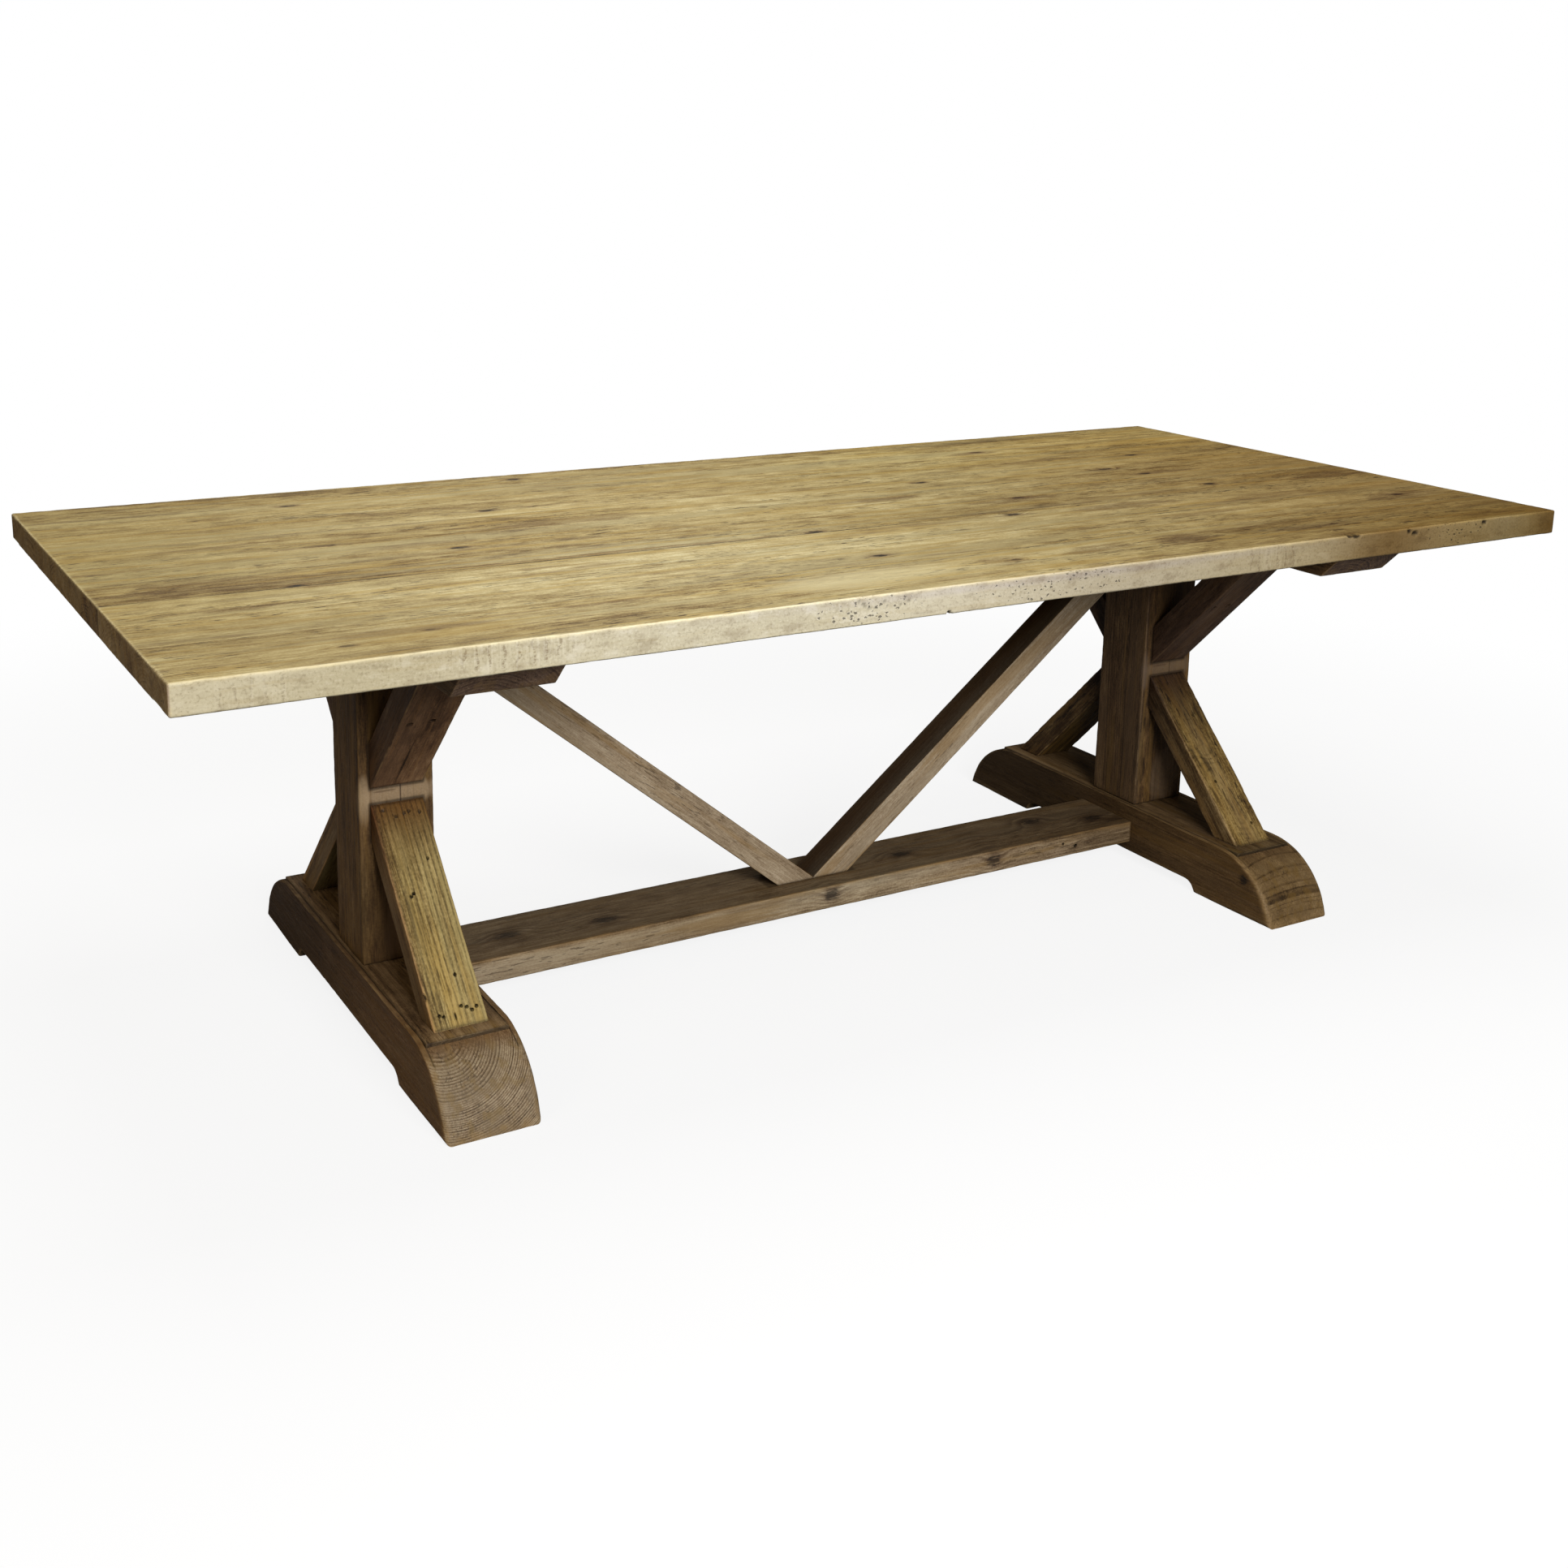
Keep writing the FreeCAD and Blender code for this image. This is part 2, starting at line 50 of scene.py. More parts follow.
PLATE_HALF_LENGTH = 0.345
PLATE_WIDTH = 0.128
PLATE_THICKNESS = 0.016
PLATE_GAP = 0.0006
TOE_ARC = 0.170
FOOT_ARRIS = 0.0045
TOE_ARRIS = 0.0045
RECESS_WALL = 5e-5
RECESS_LINE_FROM = 0.09
BACK_SHADE = 0.74
TRESTLE_X = {"left": -0.787, "right": 0.787}
# Each foot's shades are its sides' colour, and its toe tint multiplies them on the end grain: partly the
# end grain's own greyer colour, partly painted light, the lit toes against the shaded sides.
LEFT_FOOT_SHADES = ((54, 37, 22), (84, 60, 36), (110, 82, 53), (131, 101, 68), (154, 124, 87))
LEFT_FOOT_HUES = ((112, 87, 58), (116, 85, 45), (63, 43, 29))
LEFT_TOE_GRAIN_AND_LIGHT = (1.22, 1.54, 2.07)
RIGHT_FOOT_SHADES = ((50, 35, 18), (77, 56, 32), (101, 77, 48), (120, 94, 61), (140, 113, 78))
RIGHT_FOOT_HUES = ((102, 79, 52), (108, 80, 39), (54, 37, 24))
RIGHT_TOE_GRAIN_AND_LIGHT = (1.03, 1.09, 1.08)
ARRIS_SHARES = np.array([0.0, 0.1, 0.28, 0.55, 0.9, 1.4])
CROWDED = 0.4


def grid_lines(length, step, fine, marks=()):
    """Where the lines across one side of a timber lie: even steps, shares of the fine width in from both
    ends, and the marks. Even lines that crowd any of the others are left out."""
    near = fine * ARRIS_SHARES
    close = np.concatenate([near, length - near, np.asarray(marks, float)])
    even = np.linspace(0.0, length, max(2, round(length / step)) + 1)
    clear = np.abs(even[:, None] - close[None, :]).min(axis=1) > CROWDED * step
    return np.unique(np.concatenate([even[clear], close]).round(6))


def block_net(lines):
    """A closed net of four-sided faces round a block: each of its six sides is the grid of two of the three
    sets of lines, at the first or last line of the third, and points that sides share are kept once."""
    counts = tuple(len(line) for line in lines)
    corners = []
    for axis in range(3):
        one, two = (axis + 1) % 3, (axis + 2) % 3
        first, second = np.meshgrid(np.arange(counts[one] - 1), np.arange(counts[two] - 1), indexing="ij")
        for end in (0, counts[axis] - 1):
            steps = ((0, 0), (1, 0), (1, 1), (0, 1)) if end else ((0, 0), (0, 1), (1, 1), (1, 0))
            for_side = []
            for step_one, step_two in steps:
                place = [None, None, None]
                place[axis] = np.full(first.size, end)
                place[one] = first.ravel() + step_one
                place[two] = second.ravel() + step_two
                for_side.append(np.ravel_multi_index(place, counts))
            corners.append(np.stack(for_side, axis=1))
    kept, faces = np.unique(np.concatenate(corners), return_inverse=True)
    places = np.unravel_index(kept, counts)
    return np.stack([line[place] for line, place in zip(lines, places)], axis=1), faces.reshape(-1, 4)


def round_over(block, sizes, radii, smooth_ends):
    """The block's points with its arrises rounded: a point is split into the nearest point of a core that
    lies one radius inside and the step out from it, and the step is cut to the radius. Where the ends run
    smoothly into the upper and lower sides, the longer of those two steps counts for both."""
    core = np.clip(block, radii, sizes - radii)
    step = (block - core) / radii
    reach = np.linalg.norm(step, axis=1)
    if smooth_ends:
        reach = np.hypot(np.abs(step[:, [0, 2]]).max(axis=1), step[:, 1])
    return core + radii * step / np.maximum(reach, 1e-9)[:, None]


WAVES = 16
WAVE_SPREAD = 5.0


def ripple(points, reach, seed):
    """A smooth random field from about -1 to 1: plane waves in random directions and phases, each about as
    long as the reach."""
    draw = np.random.default_rng(seed)
    heading = draw.normal(size=(WAVES, 3))
    heading /= np.linalg.norm(heading, axis=1, keepdims=True)
    turns = heading * draw.uniform(0.6, 1.6, (WAVES, 1)) * 2 * math.pi
    waves = np.sin((points / np.asarray(reach)) @ turns.T + draw.uniform(0, 2 * math.pi, WAVES))
    return np.clip(waves.sum(axis=1) / WAVE_SPREAD, -1.0, 1.0)


def outward(points, faces):
    """Each point's normal: the cross products of the diagonals of the faces round it, added up."""
    corners = points[faces]
    facing = np.cross(corners[:, 2] - corners[:, 0], corners[:, 3] - corners[:, 1])
    total = np.stack([np.bincount(faces.ravel(), np.repeat(facing[:, axis], 4), len(points))
                      for axis in range(3)], 1)
    return total / np.maximum(np.linalg.norm(total, axis=1, keepdims=True), 1e-12)


def ease(value, low, high):
    """Rises from 0 at low to 1 at high along a cubic."""
    share = np.clip((value - low) / (high - low), 0.0, 1.0)
    return share * share * (3.0 - 2.0 * share)


def deepen(field, amount):
    """Raises a field to an amount wherever that is more."""
    np.maximum(field, amount, out=field)


JOINT_DARK_REACH = 0.005
JOINT_DIRT_AND_SHADE = 0.9
END_GRIME = 0.8
PATCH_REACH = 0.16
NICK_REACH = 0.023
WAVE_REACH = 0.22
SMALL_HOLE = 0.004
BORE_RINGS = np.array([-2.0, -1.5, -1.02, -0.98, -0.5, 0.0, 0.5, 0.98, 1.02, 1.5, 2.0])
NAIL_RINGS = np.array([-1.5, -1.02, -0.98, 0.0, 0.98, 1.02, 1.5])


def sink_holes(flat, block, sizes, holes, marks):
    """Opens round holes in the sides of a block, each given by its axis, whether it is on the far side, its
    middle along the next two axes, its radius, its depth and how dark it is. The squares of grid lines
    round each middle are bent to circles, less and less out to twice the radius, and the points within the
    radius are pushed in to the depth."""
    for axis, far, one, two, radius, deep, dark in holes:
        first, second = (axis + 1) % 3, (axis + 2) % 3
        on_side = np.abs(flat[:, axis] - far * sizes[axis]) < 1e-7
        away = np.stack([block[:, first] - one, block[:, second] - two], axis=1)
        ring = np.abs(away).max(axis=1) / radius
        circle = ring * radius / np.maximum(np.linalg.norm(away, axis=1), 1e-9)
        bend = 1.0 + np.clip(2.0 - ring, 0.0, 1.0) * (circle - 1.0)
        near = on_side & (ring < 2.0)
        block[near, first] = one + (away[:, 0] * bend)[near]
        block[near, second] = two + (away[:, 1] * bend)[near]
        inside = on_side & (ring < 1.0)
        block[inside, axis] += deep * (1 - 2 * far)
        marks["pit"][inside] = dark


def hole_lines(holes, axis):
    """The grid lines along an axis that the holes in the other sides need."""
    around = []
    for hole_axis, _, one, two, radius, _, _ in holes:
        if hole_axis != axis:
            middle = one if (hole_axis + 1) % 3 == axis else two
            around.append(middle + radius * (BORE_RINGS if radius > SMALL_HOLE else NAIL_RINGS))
    return around


def timber(name, slot, finish, sizes, steps, fine, place, radii, seed, lines=((), (), ()), holes=(),
           smooth_ends=False, wave=0.0003, nick=0.15, dirt=0.0, joints=(), shape=None, cut=None):
    """One timber: a block's net, rounded at its arrises, opened by its holes and put in its place, then
    worn inwards along its normals by long shallow waves over its faces, nicks along its arrises and
    whatever its shape adds. It never grows past the sawn block. How far each point is worn, end grain,
    grimy or painted with shade (dirt at its ends, dirt and painted contact shade round joints, and the
    painted shade that some shapes add), pitted or rough from the saw is kept for the finish."""
    sizes = np.array(sizes)
    grid = []
    for axis in range(3):
        marked = np.concatenate([[], *hole_lines(holes, axis), lines[axis]])
        grid.append(grid_lines(sizes[axis], steps[axis], fine[axis], marked))
    flat, faces = block_net(grid)
    marks = {kind: np.zeros(len(flat)) for kind in ("wear", "end", "grime", "pit", "sawn")}
    reach = np.broadcast_to(radii(flat) if callable(radii) else radii, flat.shape)
    block = round_over(flat, sizes, reach, smooth_ends)
    sink_holes(flat, block, sizes, holes, marks)
    points = place(block)
    corners = points[faces]
    volume = np.einsum("ij,ij->", corners[:, 0], np.cross(corners[:, 1], corners[:, 2]))
    volume += np.einsum("ij,ij->", corners[:, 0], np.cross(corners[:, 2], corners[:, 3]))
    faces = faces if volume > 0 else faces[:, ::-1]
    normals = outward(points, faces)
    to_arris = np.sort(np.concatenate([flat, sizes - flat], axis=1), axis=1)[:, 1]
    radius = reach.mean(axis=1)
    patches = ripple(points, PATCH_REACH, seed)
    nicks = ripple(points, NICK_REACH, seed + 1)
    depth = wave * (0.5 + 0.5 * ripple(points, WAVE_REACH, seed + 2))
    near_arris = 1.0 - ease(to_arris, 0.3 * radius, 2.2 * radius)
    depth += near_arris * radius * nick * np.clip(0.2 + 0.6 * nicks + 0.5 * patches, 0.0, 1.0)
    rubbed = np.clip(0.55 + 0.5 * patches + 0.4 * nicks, 0.0, 1.0)
    marks["wear"] = (1.0 - ease(to_arris, 0.5 * radius, 1.6 * radius)) * rubbed
    grain = points[flat[:, 0] > sizes[0] - 1e-6].mean(axis=0) - points[flat[:, 0] < 1e-6].mean(axis=0)
    marks["end"] = ease(np.abs(normals @ grain) / np.linalg.norm(grain), 0.22, 0.55)
    if dirt:
        to_end = np.minimum(flat[:, 0], sizes[0] - flat[:, 0])
        marks["grime"] = END_GRIME * (1.0 - ease(to_end, 0.2 * dirt, dirt))
    # Dirt and painted contact shade in a thin band round each joint.
    for low, high in joints:
        gap = np.linalg.norm(np.maximum(np.maximum(low - points, points - high), 0.0), axis=1)
        deepen(marks["grime"], JOINT_DIRT_AND_SHADE * (1.0 - ease(gap, 0.0008, JOINT_DARK_REACH)))
    if shape:
        shape(points, flat, depth, marks)
    points = points - normals * depth[:, None]
    if cut:
        cut(points, flat)
    mesh = bpy.data.meshes.new(name)
    mesh.vertices.add(len(points))
    mesh.vertices.foreach_set("co", points.astype(np.float32).ravel())
    mesh.loops.add(faces.size)
    mesh.loops.foreach_set("vertex_index", faces.astype(np.int32).ravel())
    mesh.polygons.add(len(faces))
    mesh.polygons.foreach_set("loop_start", np.arange(0, faces.size, 4, dtype=np.int32))
    mesh.update(calc_edges=True)
    for mark, values in marks.items():
        field = mesh.attributes.new(mark, "FLOAT", "POINT")
        field.data.foreach_set("value", np.clip(values, 0.0, 1.0).astype(np.float32))
    mesh.shade_smooth()
    mesh.set_sharp_from_angle(angle=math.radians(50))
    mesh.materials.append(finish)
    piece = bpy.data.objects.new(name, mesh)
    bpy.context.scene.collection.objects.link(piece)
    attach(piece, "root")
    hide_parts(name.removeprefix("worn_"))
    return piece


def gouges(points, depth, marks, spots, dark=1.0):
    """Sinks a hollow at each spot (middle, half sizes, depth), deepest in its middle, level at its rim."""
    for middle, sizes, deep in spots:
        away = np.linalg.norm((points - np.array(middle)) / np.array(sizes), axis=1)
        bowl = np.clip(1.0 - away ** 2, 0.0, 1.0)
        deepen(depth, deep * np.sqrt(bowl))
        deepen(marks["pit"], dark * ease(bowl, 0.15, 0.6))


def tint(colour):
    """An 8-bit screen colour as the linear values that a shader takes."""
    screen = np.array(colour) / 255.0
    linear = np.where(screen <= 0.04045, screen / 12.92, ((screen + 0.055) / 1.055) ** 2.4)
    return (*(float(part) for part in linear), 1.0)


def new_finish(name):
    """An empty material, and a function that adds a node to it, sets it, and joins or fills its inputs."""
    material = bpy.data.materials.new(name)
    material.use_nodes = True
    tree = material.node_tree
    tree.nodes.clear()

    def add(kind, inputs=None, **settings):
        node = tree.nodes.new("ShaderNode" + kind)
        for field, value in settings.items():
            setattr(node, field, value)
        for socket, value in (inputs or {}).items():
            if isinstance(value, bpy.types.NodeSocket):
                tree.links.new(value, node.inputs[socket])
            else:
                node.inputs[socket].default_value = value
        return node

    return material, add


KNOT_BLACK = (30, 27, 26)
GRIME_AND_SHADE_BROWN = (34, 24, 15)
PIT_BROWN = (22, 16, 11)
RELIEF = 0.0006


def aged_pine(name, grain, pith, shades, hues, seed, ring=0.004, ring_show=0.2, ring_end=0.5,
              ring_edge=0.15, sway=0.006, streak=0.6, mottle=0.5, fleck=0.5, tone=0.0, brief=1.0,
              end_tint=(0.6, 0.6, 0.6), worn=(150, 122, 82), rough=0.55, bump=0.5, scored=0.0, knots=(),
              stains=(), veils=(), sawn=None, kerf_pitch=0.019, kerf_zones=(), worm_zones=()):
    """Old waxed pine, worked out inside the log that the timber came from. Rings are whole steps of the
    swaying distance from the pith, lifted round each knot so that they close round it. Streaks are noises
    drawn out along the grain, and brief says how many times shorter than usual they are. Both set one tone,
    which picks the shade. Grey, gold and dark smears shift its hue. Flecks, knots, stains, saw marks, end
    grain, grime and painted shade, worn arrises, old polish and painted light and shade (the veils, which
    multiply the colour) and pits go over it."""
    material, add = new_finish(name)

    def sums(kind, first, second=0.0, third=0.0):
        return add("Math", {0: first, 1: second, 2: third}, operation=kind).outputs[0]

    def vectors(kind, first, second):
        return add("VectorMath", {0: first, 1: second}, operation=kind).outputs[0]

    def fade(value, low, high, to_low=0.0, to_high=1.0):
        limits = {"Value": value, "From Min": low, "From Max": high, "To Min": to_low, "To Max": to_high}
        return add("MapRange", limits, interpolation_type="SMOOTHSTEP").outputs[0]

    def blend(factor, under, over, kind="MIX"):
        return add("Mix", {0: factor, 6: under, 7: over}, data_type="RGBA", blend_type=kind).outputs[2]

    def cloud(vector, scale, shift, detail=2.0, broken=0.55):
        drawn = add("Mapping", {"Vector": vector, "Scale": scale,
                                "Location": (shift, 2.3 * shift, 1.7 * shift)})
        inputs = {"Vector": drawn.outputs[0], "Scale": 1.0, "Detail": detail, "Roughness": broken}
        return add("TexNoise", inputs, noise_dimensions="3D").outputs[0]

    def nearness(place, size):
        away = vectors("SUBTRACT", spot, place)
        share = vectors("MULTIPLY", away, tuple(1.0 / part for part in size))
        return add("VectorMath", {0: share, 1: share}, operation="DOT_PRODUCT").outputs["Value"]

    def mark(kind):
        return add("Attribute", attribute_name=kind).outputs["Fac"]

    spot = add("TexCoord").outputs["Object"]
    turn = Vector(grain).to_track_quat("X", "Z").to_euler()
    log = add("Mapping", {"Vector": spot, "Location": pith, "Rotation": turn},
              vector_type="TEXTURE").outputs[0]
    drawn = add("Mapping", {"Vector": log, "Scale": (1.1, 6.0, 6.0), "Location": (seed, 0.0, seed)})
    wander = add("TexNoise", {"Vector": drawn.outputs[0], "Scale": 1.0, "Detail": 4.0, "Roughness": 0.6},
                 noise_dimensions="3D")
    centred = vectors("SUBTRACT", wander.outputs[1], (0.5, 0.5, 0.5))
    offset = vectors("MULTIPLY", centred, (0.0, 4.0 * sway, 4.0 * sway))
    bent = vectors("ADD", log, offset)
    across = vectors("MULTIPLY", bent, (0.0, 1.0, 1.0))
    radius = add("VectorMath", {0: across}, operation="LENGTH").outputs["Value"]

    hearts = []
    for place, size, lift, dark in knots:
        square = nearness(place, size)
        swell = sums("EXPONENT", sums("MULTIPLY", square, -0.16))
        radius = sums("MULTIPLY_ADD", swell, lift, radius)
        hearts.append((square, dark))

    uneven = add("TexNoise", {"W": radius, "Scale": 30.0, "Detail": 1.0}, noise_dimensions="1D").outputs[0]
    count = sums("MULTIPLY_ADD", uneven, 4.0, sums("MULTIPLY", radius, 1.0 / ring))
    late = add("ValToRGB", {0: sums("FRACT", count)})
    stops = late.color_ramp.elements
    stops[0].position, stops[0].color = ring_edge, (0.0, 0.0, 0.0, 1.0)
    stops[1].position, stops[1].color = 0.82, (1.0, 1.0, 1.0, 1.0)
    stops.new(1.0).color = (0.05, 0.05, 0.05, 1.0)
    each = add("TexWhiteNoise", {"W": sums("FLOOR", count)}, noise_dimensions="1D").outputs[0]
    rings = sums("MULTIPLY", late.outputs[0], sums("MULTIPLY_ADD", each, 0.7, 0.3))
    showing = fade(mark("end"), 0.0, 1.0, -ring_show, -ring_end)

    patches = cloud(log, (1.3, 7.0, 7.0), seed)
    broad = cloud(bent, (1.3 * brief, 24.0, 24.0), seed + 1.0)
    blotch = cloud(bent, (16.0, 45.0, 45.0), seed + 12.0)
    middle = cloud(bent, (5.0 * brief, 100.0, 100.0), seed + 2.0)
    narrow = cloud(bent, (18.0 * brief, 320.0, 320.0), seed + 3.0)
    fibre = cloud(bent, (45.0, 1000.0, 1000.0), seed + 4.0)
    grit = cloud(spot, (260.0, 260.0, 260.0), seed + 5.0, 3.0)
    shade = 0.5 + tone
    weights = ((patches, 0.5, 1.4 * mottle), (blotch, 0.5, mottle), (broad, 0.5, 1.2 * streak),
               (middle, 0.5, 1.1 * streak), (narrow, 0.5, 0.3 + 0.65 * streak), (fibre, 0.5, 1.0),
               (grit, 0.5, 0.6), (rings, 0.3, showing))
    for field, mean, weight in weights:
        shade = sums("MULTIPLY_ADD", sums("SUBTRACT", field, mean), weight, shade)
    ramp = add("ValToRGB", {0: shade})
    stops = ramp.color_ramp.elements
    stops[0].position, stops[0].color = 0.0, tint(shades[0])
    stops[1].position, stops[1].color = 1.0, tint(shades[-1])
    for index, colour in enumerate(shades[1:-1], start=1):
        stops.new(index / (len(shades) - 1)).color = tint(colour)
    colour = ramp.outputs[0]

    grey, gold, dark_smear = hues
    greying = fade(cloud(bent, (0.9, 19.0, 19.0), seed + 6.0), 0.44, 0.64, 0.0, 0.5)
    colour = blend(greying, colour, tint(grey))
    gilding = fade(cloud(bent, (2.8, 62.0, 62.0), seed + 7.0), 0.50, 0.66, 0.0, 0.55)
    colour = blend(gilding, colour, tint(gold))
    smear = fade(cloud(bent, (2.6, 34.0, 34.0), seed + 8.0, 5.0, 0.68), 0.55, 0.68)
    smear = sums("MULTIPLY", smear, fade(narrow, 0.35, 0.6, 0.25, 0.8))
    colour = blend(sums("MULTIPLY", smear, fleck), colour, tint(dark_smear))
    cluster = fade(cloud(log, (2.6, 16.0, 16.0), seed + 9.0), 0.42, 0.60)
    ticks = fade(cloud(bent, (34.0, 290.0, 290.0), seed + 10.0, 2.0), 0.60, 0.64)
    ticks = sums("MULTIPLY", ticks, cluster)
    colour = blend(sums("MULTIPLY", ticks, min(1.0, 1.3 * fleck)), colour,
                   tint([0.55 * part for part in dark_smear]))
    hollows = sums("MULTIPLY", ticks, -1.0)
    if scored:
        scratches = fade(cloud(spot, (300.0, 60.0, 60.0), seed + 15.0, 2.0), 0.60, 0.68)
        where = fade(cloud(log, (3.0, 11.0, 11.0), seed + 16.0), 0.57, 0.70, 0.0, scored)
        scratches = sums("MULTIPLY", scratches, where)
        colour = blend(scratches, colour, tint(dark_smear))
        hollows = sums("MULTIPLY_ADD", scratches, -0.8, hollows)

    ragged = cloud(bent, (70.0, 380.0, 380.0), seed + 11.0, 3.0)
    for square, dark in hearts:
        heart = sums("MULTIPLY_ADD", sums("SUBTRACT", ragged, 0.5), 6.0, square)
        eye = sums("MULTIPLY", rings, fade(square, 14.0, 1.5, 0.0, 0.8 * dark))
        colour = blend(eye, colour, tint(dark_smear))
        colour = blend(fade(heart, 4.0, 0.8, 0.0, 0.5 * dark), colour, tint(dark_smear))
        core = fade(heart, 1.5, 0.3, 0.0, dark)
        colour = blend(core, colour, tint(KNOT_BLACK))
        hollows = sums("MULTIPLY_ADD", core, -1.0, hollows)
    for place, size, hue, strength in stains:
        rim = sums("MULTIPLY_ADD", sums("SUBTRACT", middle, 0.5), 2.2, nearness(place, size))
        rim = sums("MULTIPLY_ADD", sums("SUBTRACT", blotch, 0.5), 1.4, rim)
        thin = sums("MULTIPLY", fade(rim, 1.3, 0.2, 0.0, strength), fade(grit, 0.3, 0.7, 1.0, 0.7))
        colour = blend(thin, colour, tint(hue))

    if sawn:
        bare, kerf_dark, kerf_pale = sawn
        zone = 0.0
        for place, size in kerf_zones:
            zone = sums("MAXIMUM", zone, fade(nearness(place, size), 1.0, 0.3))
        kerf = cloud(spot, (260.0, 3.0, 16.0), seed + 13.0, 2.0)
        face = blend(sums("MULTIPLY", fade(kerf, 0.54, 0.68, 0.0, 0.25), zone), tint(bare), tint(kerf_dark))
        along = add("SeparateXYZ", {0: spot}).outputs[0]
        uneven = cloud(spot, (30.0, 0.0, 40.0), seed + 17.0)
        stroke = sums("FRACT", sums("MULTIPLY_ADD", uneven, 1.1, sums("MULTIPLY", along, 1.0 / kerf_pitch)))
        dots = fade(cloud(spot, (150.0, 0.0, 420.0), seed + 18.0), 0.42, 0.56)
        strokes = sums("MULTIPLY", sums("MULTIPLY", fade(stroke, 0.74, 0.9), dots), zone)
        face = blend(sums("MULTIPLY", strokes, 0.7), face, tint(kerf_dark))
        face = blend(sums("MULTIPLY", fade(kerf, 0.46, 0.32, 0.0, 0.4), zone), face, tint(kerf_pale))
        soiled = cloud(spot, (22.0, 0.0, 45.0), seed + 19.0, 4.0, 0.65)
        coats = ((patches, 0.40, 0.62, 0.5, kerf_pale), (grit, 0.52, 0.70, 0.4, kerf_dark),
                 (grit, 0.46, 0.32, 0.4, kerf_pale), (middle, 0.52, 0.68, 0.15, gold),
                 (soiled, 0.51, 0.68, 0.4, kerf_dark), (soiled, 0.47, 0.34, 0.5, kerf_pale))
        for field, low, high, strength, hue in coats:
            face = blend(fade(field, low, high, 0.0, strength), face, tint(hue))
        cells = add("Mapping", {"Vector": spot, "Scale": (165.0, 0.0, 240.0)}).outputs[0]
        torn = add("TexNoise", {"Vector": cells, "Scale": 1.6, "Detail": 3.0},
                   noise_dimensions="3D").outputs[1]
        torn = vectors("SUBTRACT", torn, (0.5, 0.5, 0.5))
        cells = vectors("ADD", cells, vectors("MULTIPLY", torn, (1.5, 0.0, 1.5)))
        bites = add("TexVoronoi", {"Vector": cells, "Scale": 1.0, "Randomness": 1.0})
        some = add("SeparateColor", {0: bites.outputs["Color"]}).outputs[0]
        worm = fade(cloud(spot, (5.0, 0.0, 20.0), seed + 14.0, 1.0), 0.54, 0.70, 0.02, 0.18)
        for place, size, width in worm_zones:
            worm = sums("MAXIMUM", worm, fade(nearness(place, size), 1.0, 0.3, 0.0, width))
        reach = sums("MULTIPLY", worm, fade(some, 0.35, 1.0))
        rim = sums("LESS_THAN", bites.outputs["Distance"], sums("MULTIPLY", reach, 1.6))
        face = blend(sums("MULTIPLY", rim, 0.4), face, tint(kerf_pale))
        bite = sums("LESS_THAN", bites.outputs["Distance"], reach)
        face = blend(sums("MULTIPLY", bite, 0.75), face, tint([0.4 * part for part in kerf_dark]))
        colour = blend(mark("sawn"), colour, face)
        for field, weight in ((bite, -1.5), (sums("MULTIPLY", kerf, zone), -1.2), (strokes, -1.0)):
            hollows = sums("MULTIPLY_ADD", sums("MULTIPLY", mark("sawn"), field), weight, hollows)
    colour = blend(mark("end"), colour, blend(1.0, colour, (*end_tint, 1.0), "MULTIPLY"))
    # The grime mark darkens the wood with dirt and with painted shade.
    colour = blend(sums("MULTIPLY", mark("grime"), 0.85), colour, tint(GRIME_AND_SHADE_BROWN))
    colour = blend(sums("MULTIPLY", mark("wear"), fade(narrow, 0.3, 0.7, 0.3, 0.85)), colour, tint(worn))
    for place, size, dimming in veils:
        depth = sums("EXPONENT", sums("MULTIPLY", nearness(place, size), -1.2))
        colour = blend(depth, colour, (*dimming, 1.0), "MULTIPLY")
    colour = blend(sums("MULTIPLY", mark("pit"), 0.92), colour, tint(PIT_BROWN))

    height = hollows
    for field, weight in ((fibre, 0.5), (narrow, 0.5), (rings, 0.6), (grit, 0.4)):
        height = sums("MULTIPLY_ADD", field, weight, height)
    relief = add("Bump", {"Strength": bump, "Distance": RELIEF, "Height": height}).outputs[0]
    gloss = fade(narrow, 0.3, 0.7, rough + 0.1, rough - 0.06)
    surface = add("BsdfPrincipled", {"Base Color": colour, "Roughness": gloss, "Normal": relief,
                                     "Specular IOR Level": 0.2})
    add("OutputMaterial", {"Surface": surface.outputs[0]})
    return material


toe_start = FOOT_LENGTH / 2 - math.sqrt(TOE_RADIUS ** 2 - (TOE_RADIUS - FOOT_HEIGHT) ** 2)
toe_low_angle = math.asin((TOE_RADIUS - FOOT_HEIGHT) / TOE_RADIUS)
pad_inner = FOOT_LENGTH / 2 - PAD_LENGTH
cove_end = pad_inner - math.sqrt(COVE_RADIUS ** 2 - (COVE_RADIUS - FOOT_RELIEF) ** 2)
recess_half_length = PLATE_HALF_LENGTH + PLATE_GAP
recess_half_width = PLATE_WIDTH / 2 + PLATE_GAP
recess_angle = math.acos((recess_half_length - toe_start) / TOE_RADIUS)
recess_share = (recess_angle - toe_low_angle) / (math.pi / 2 - toe_low_angle)


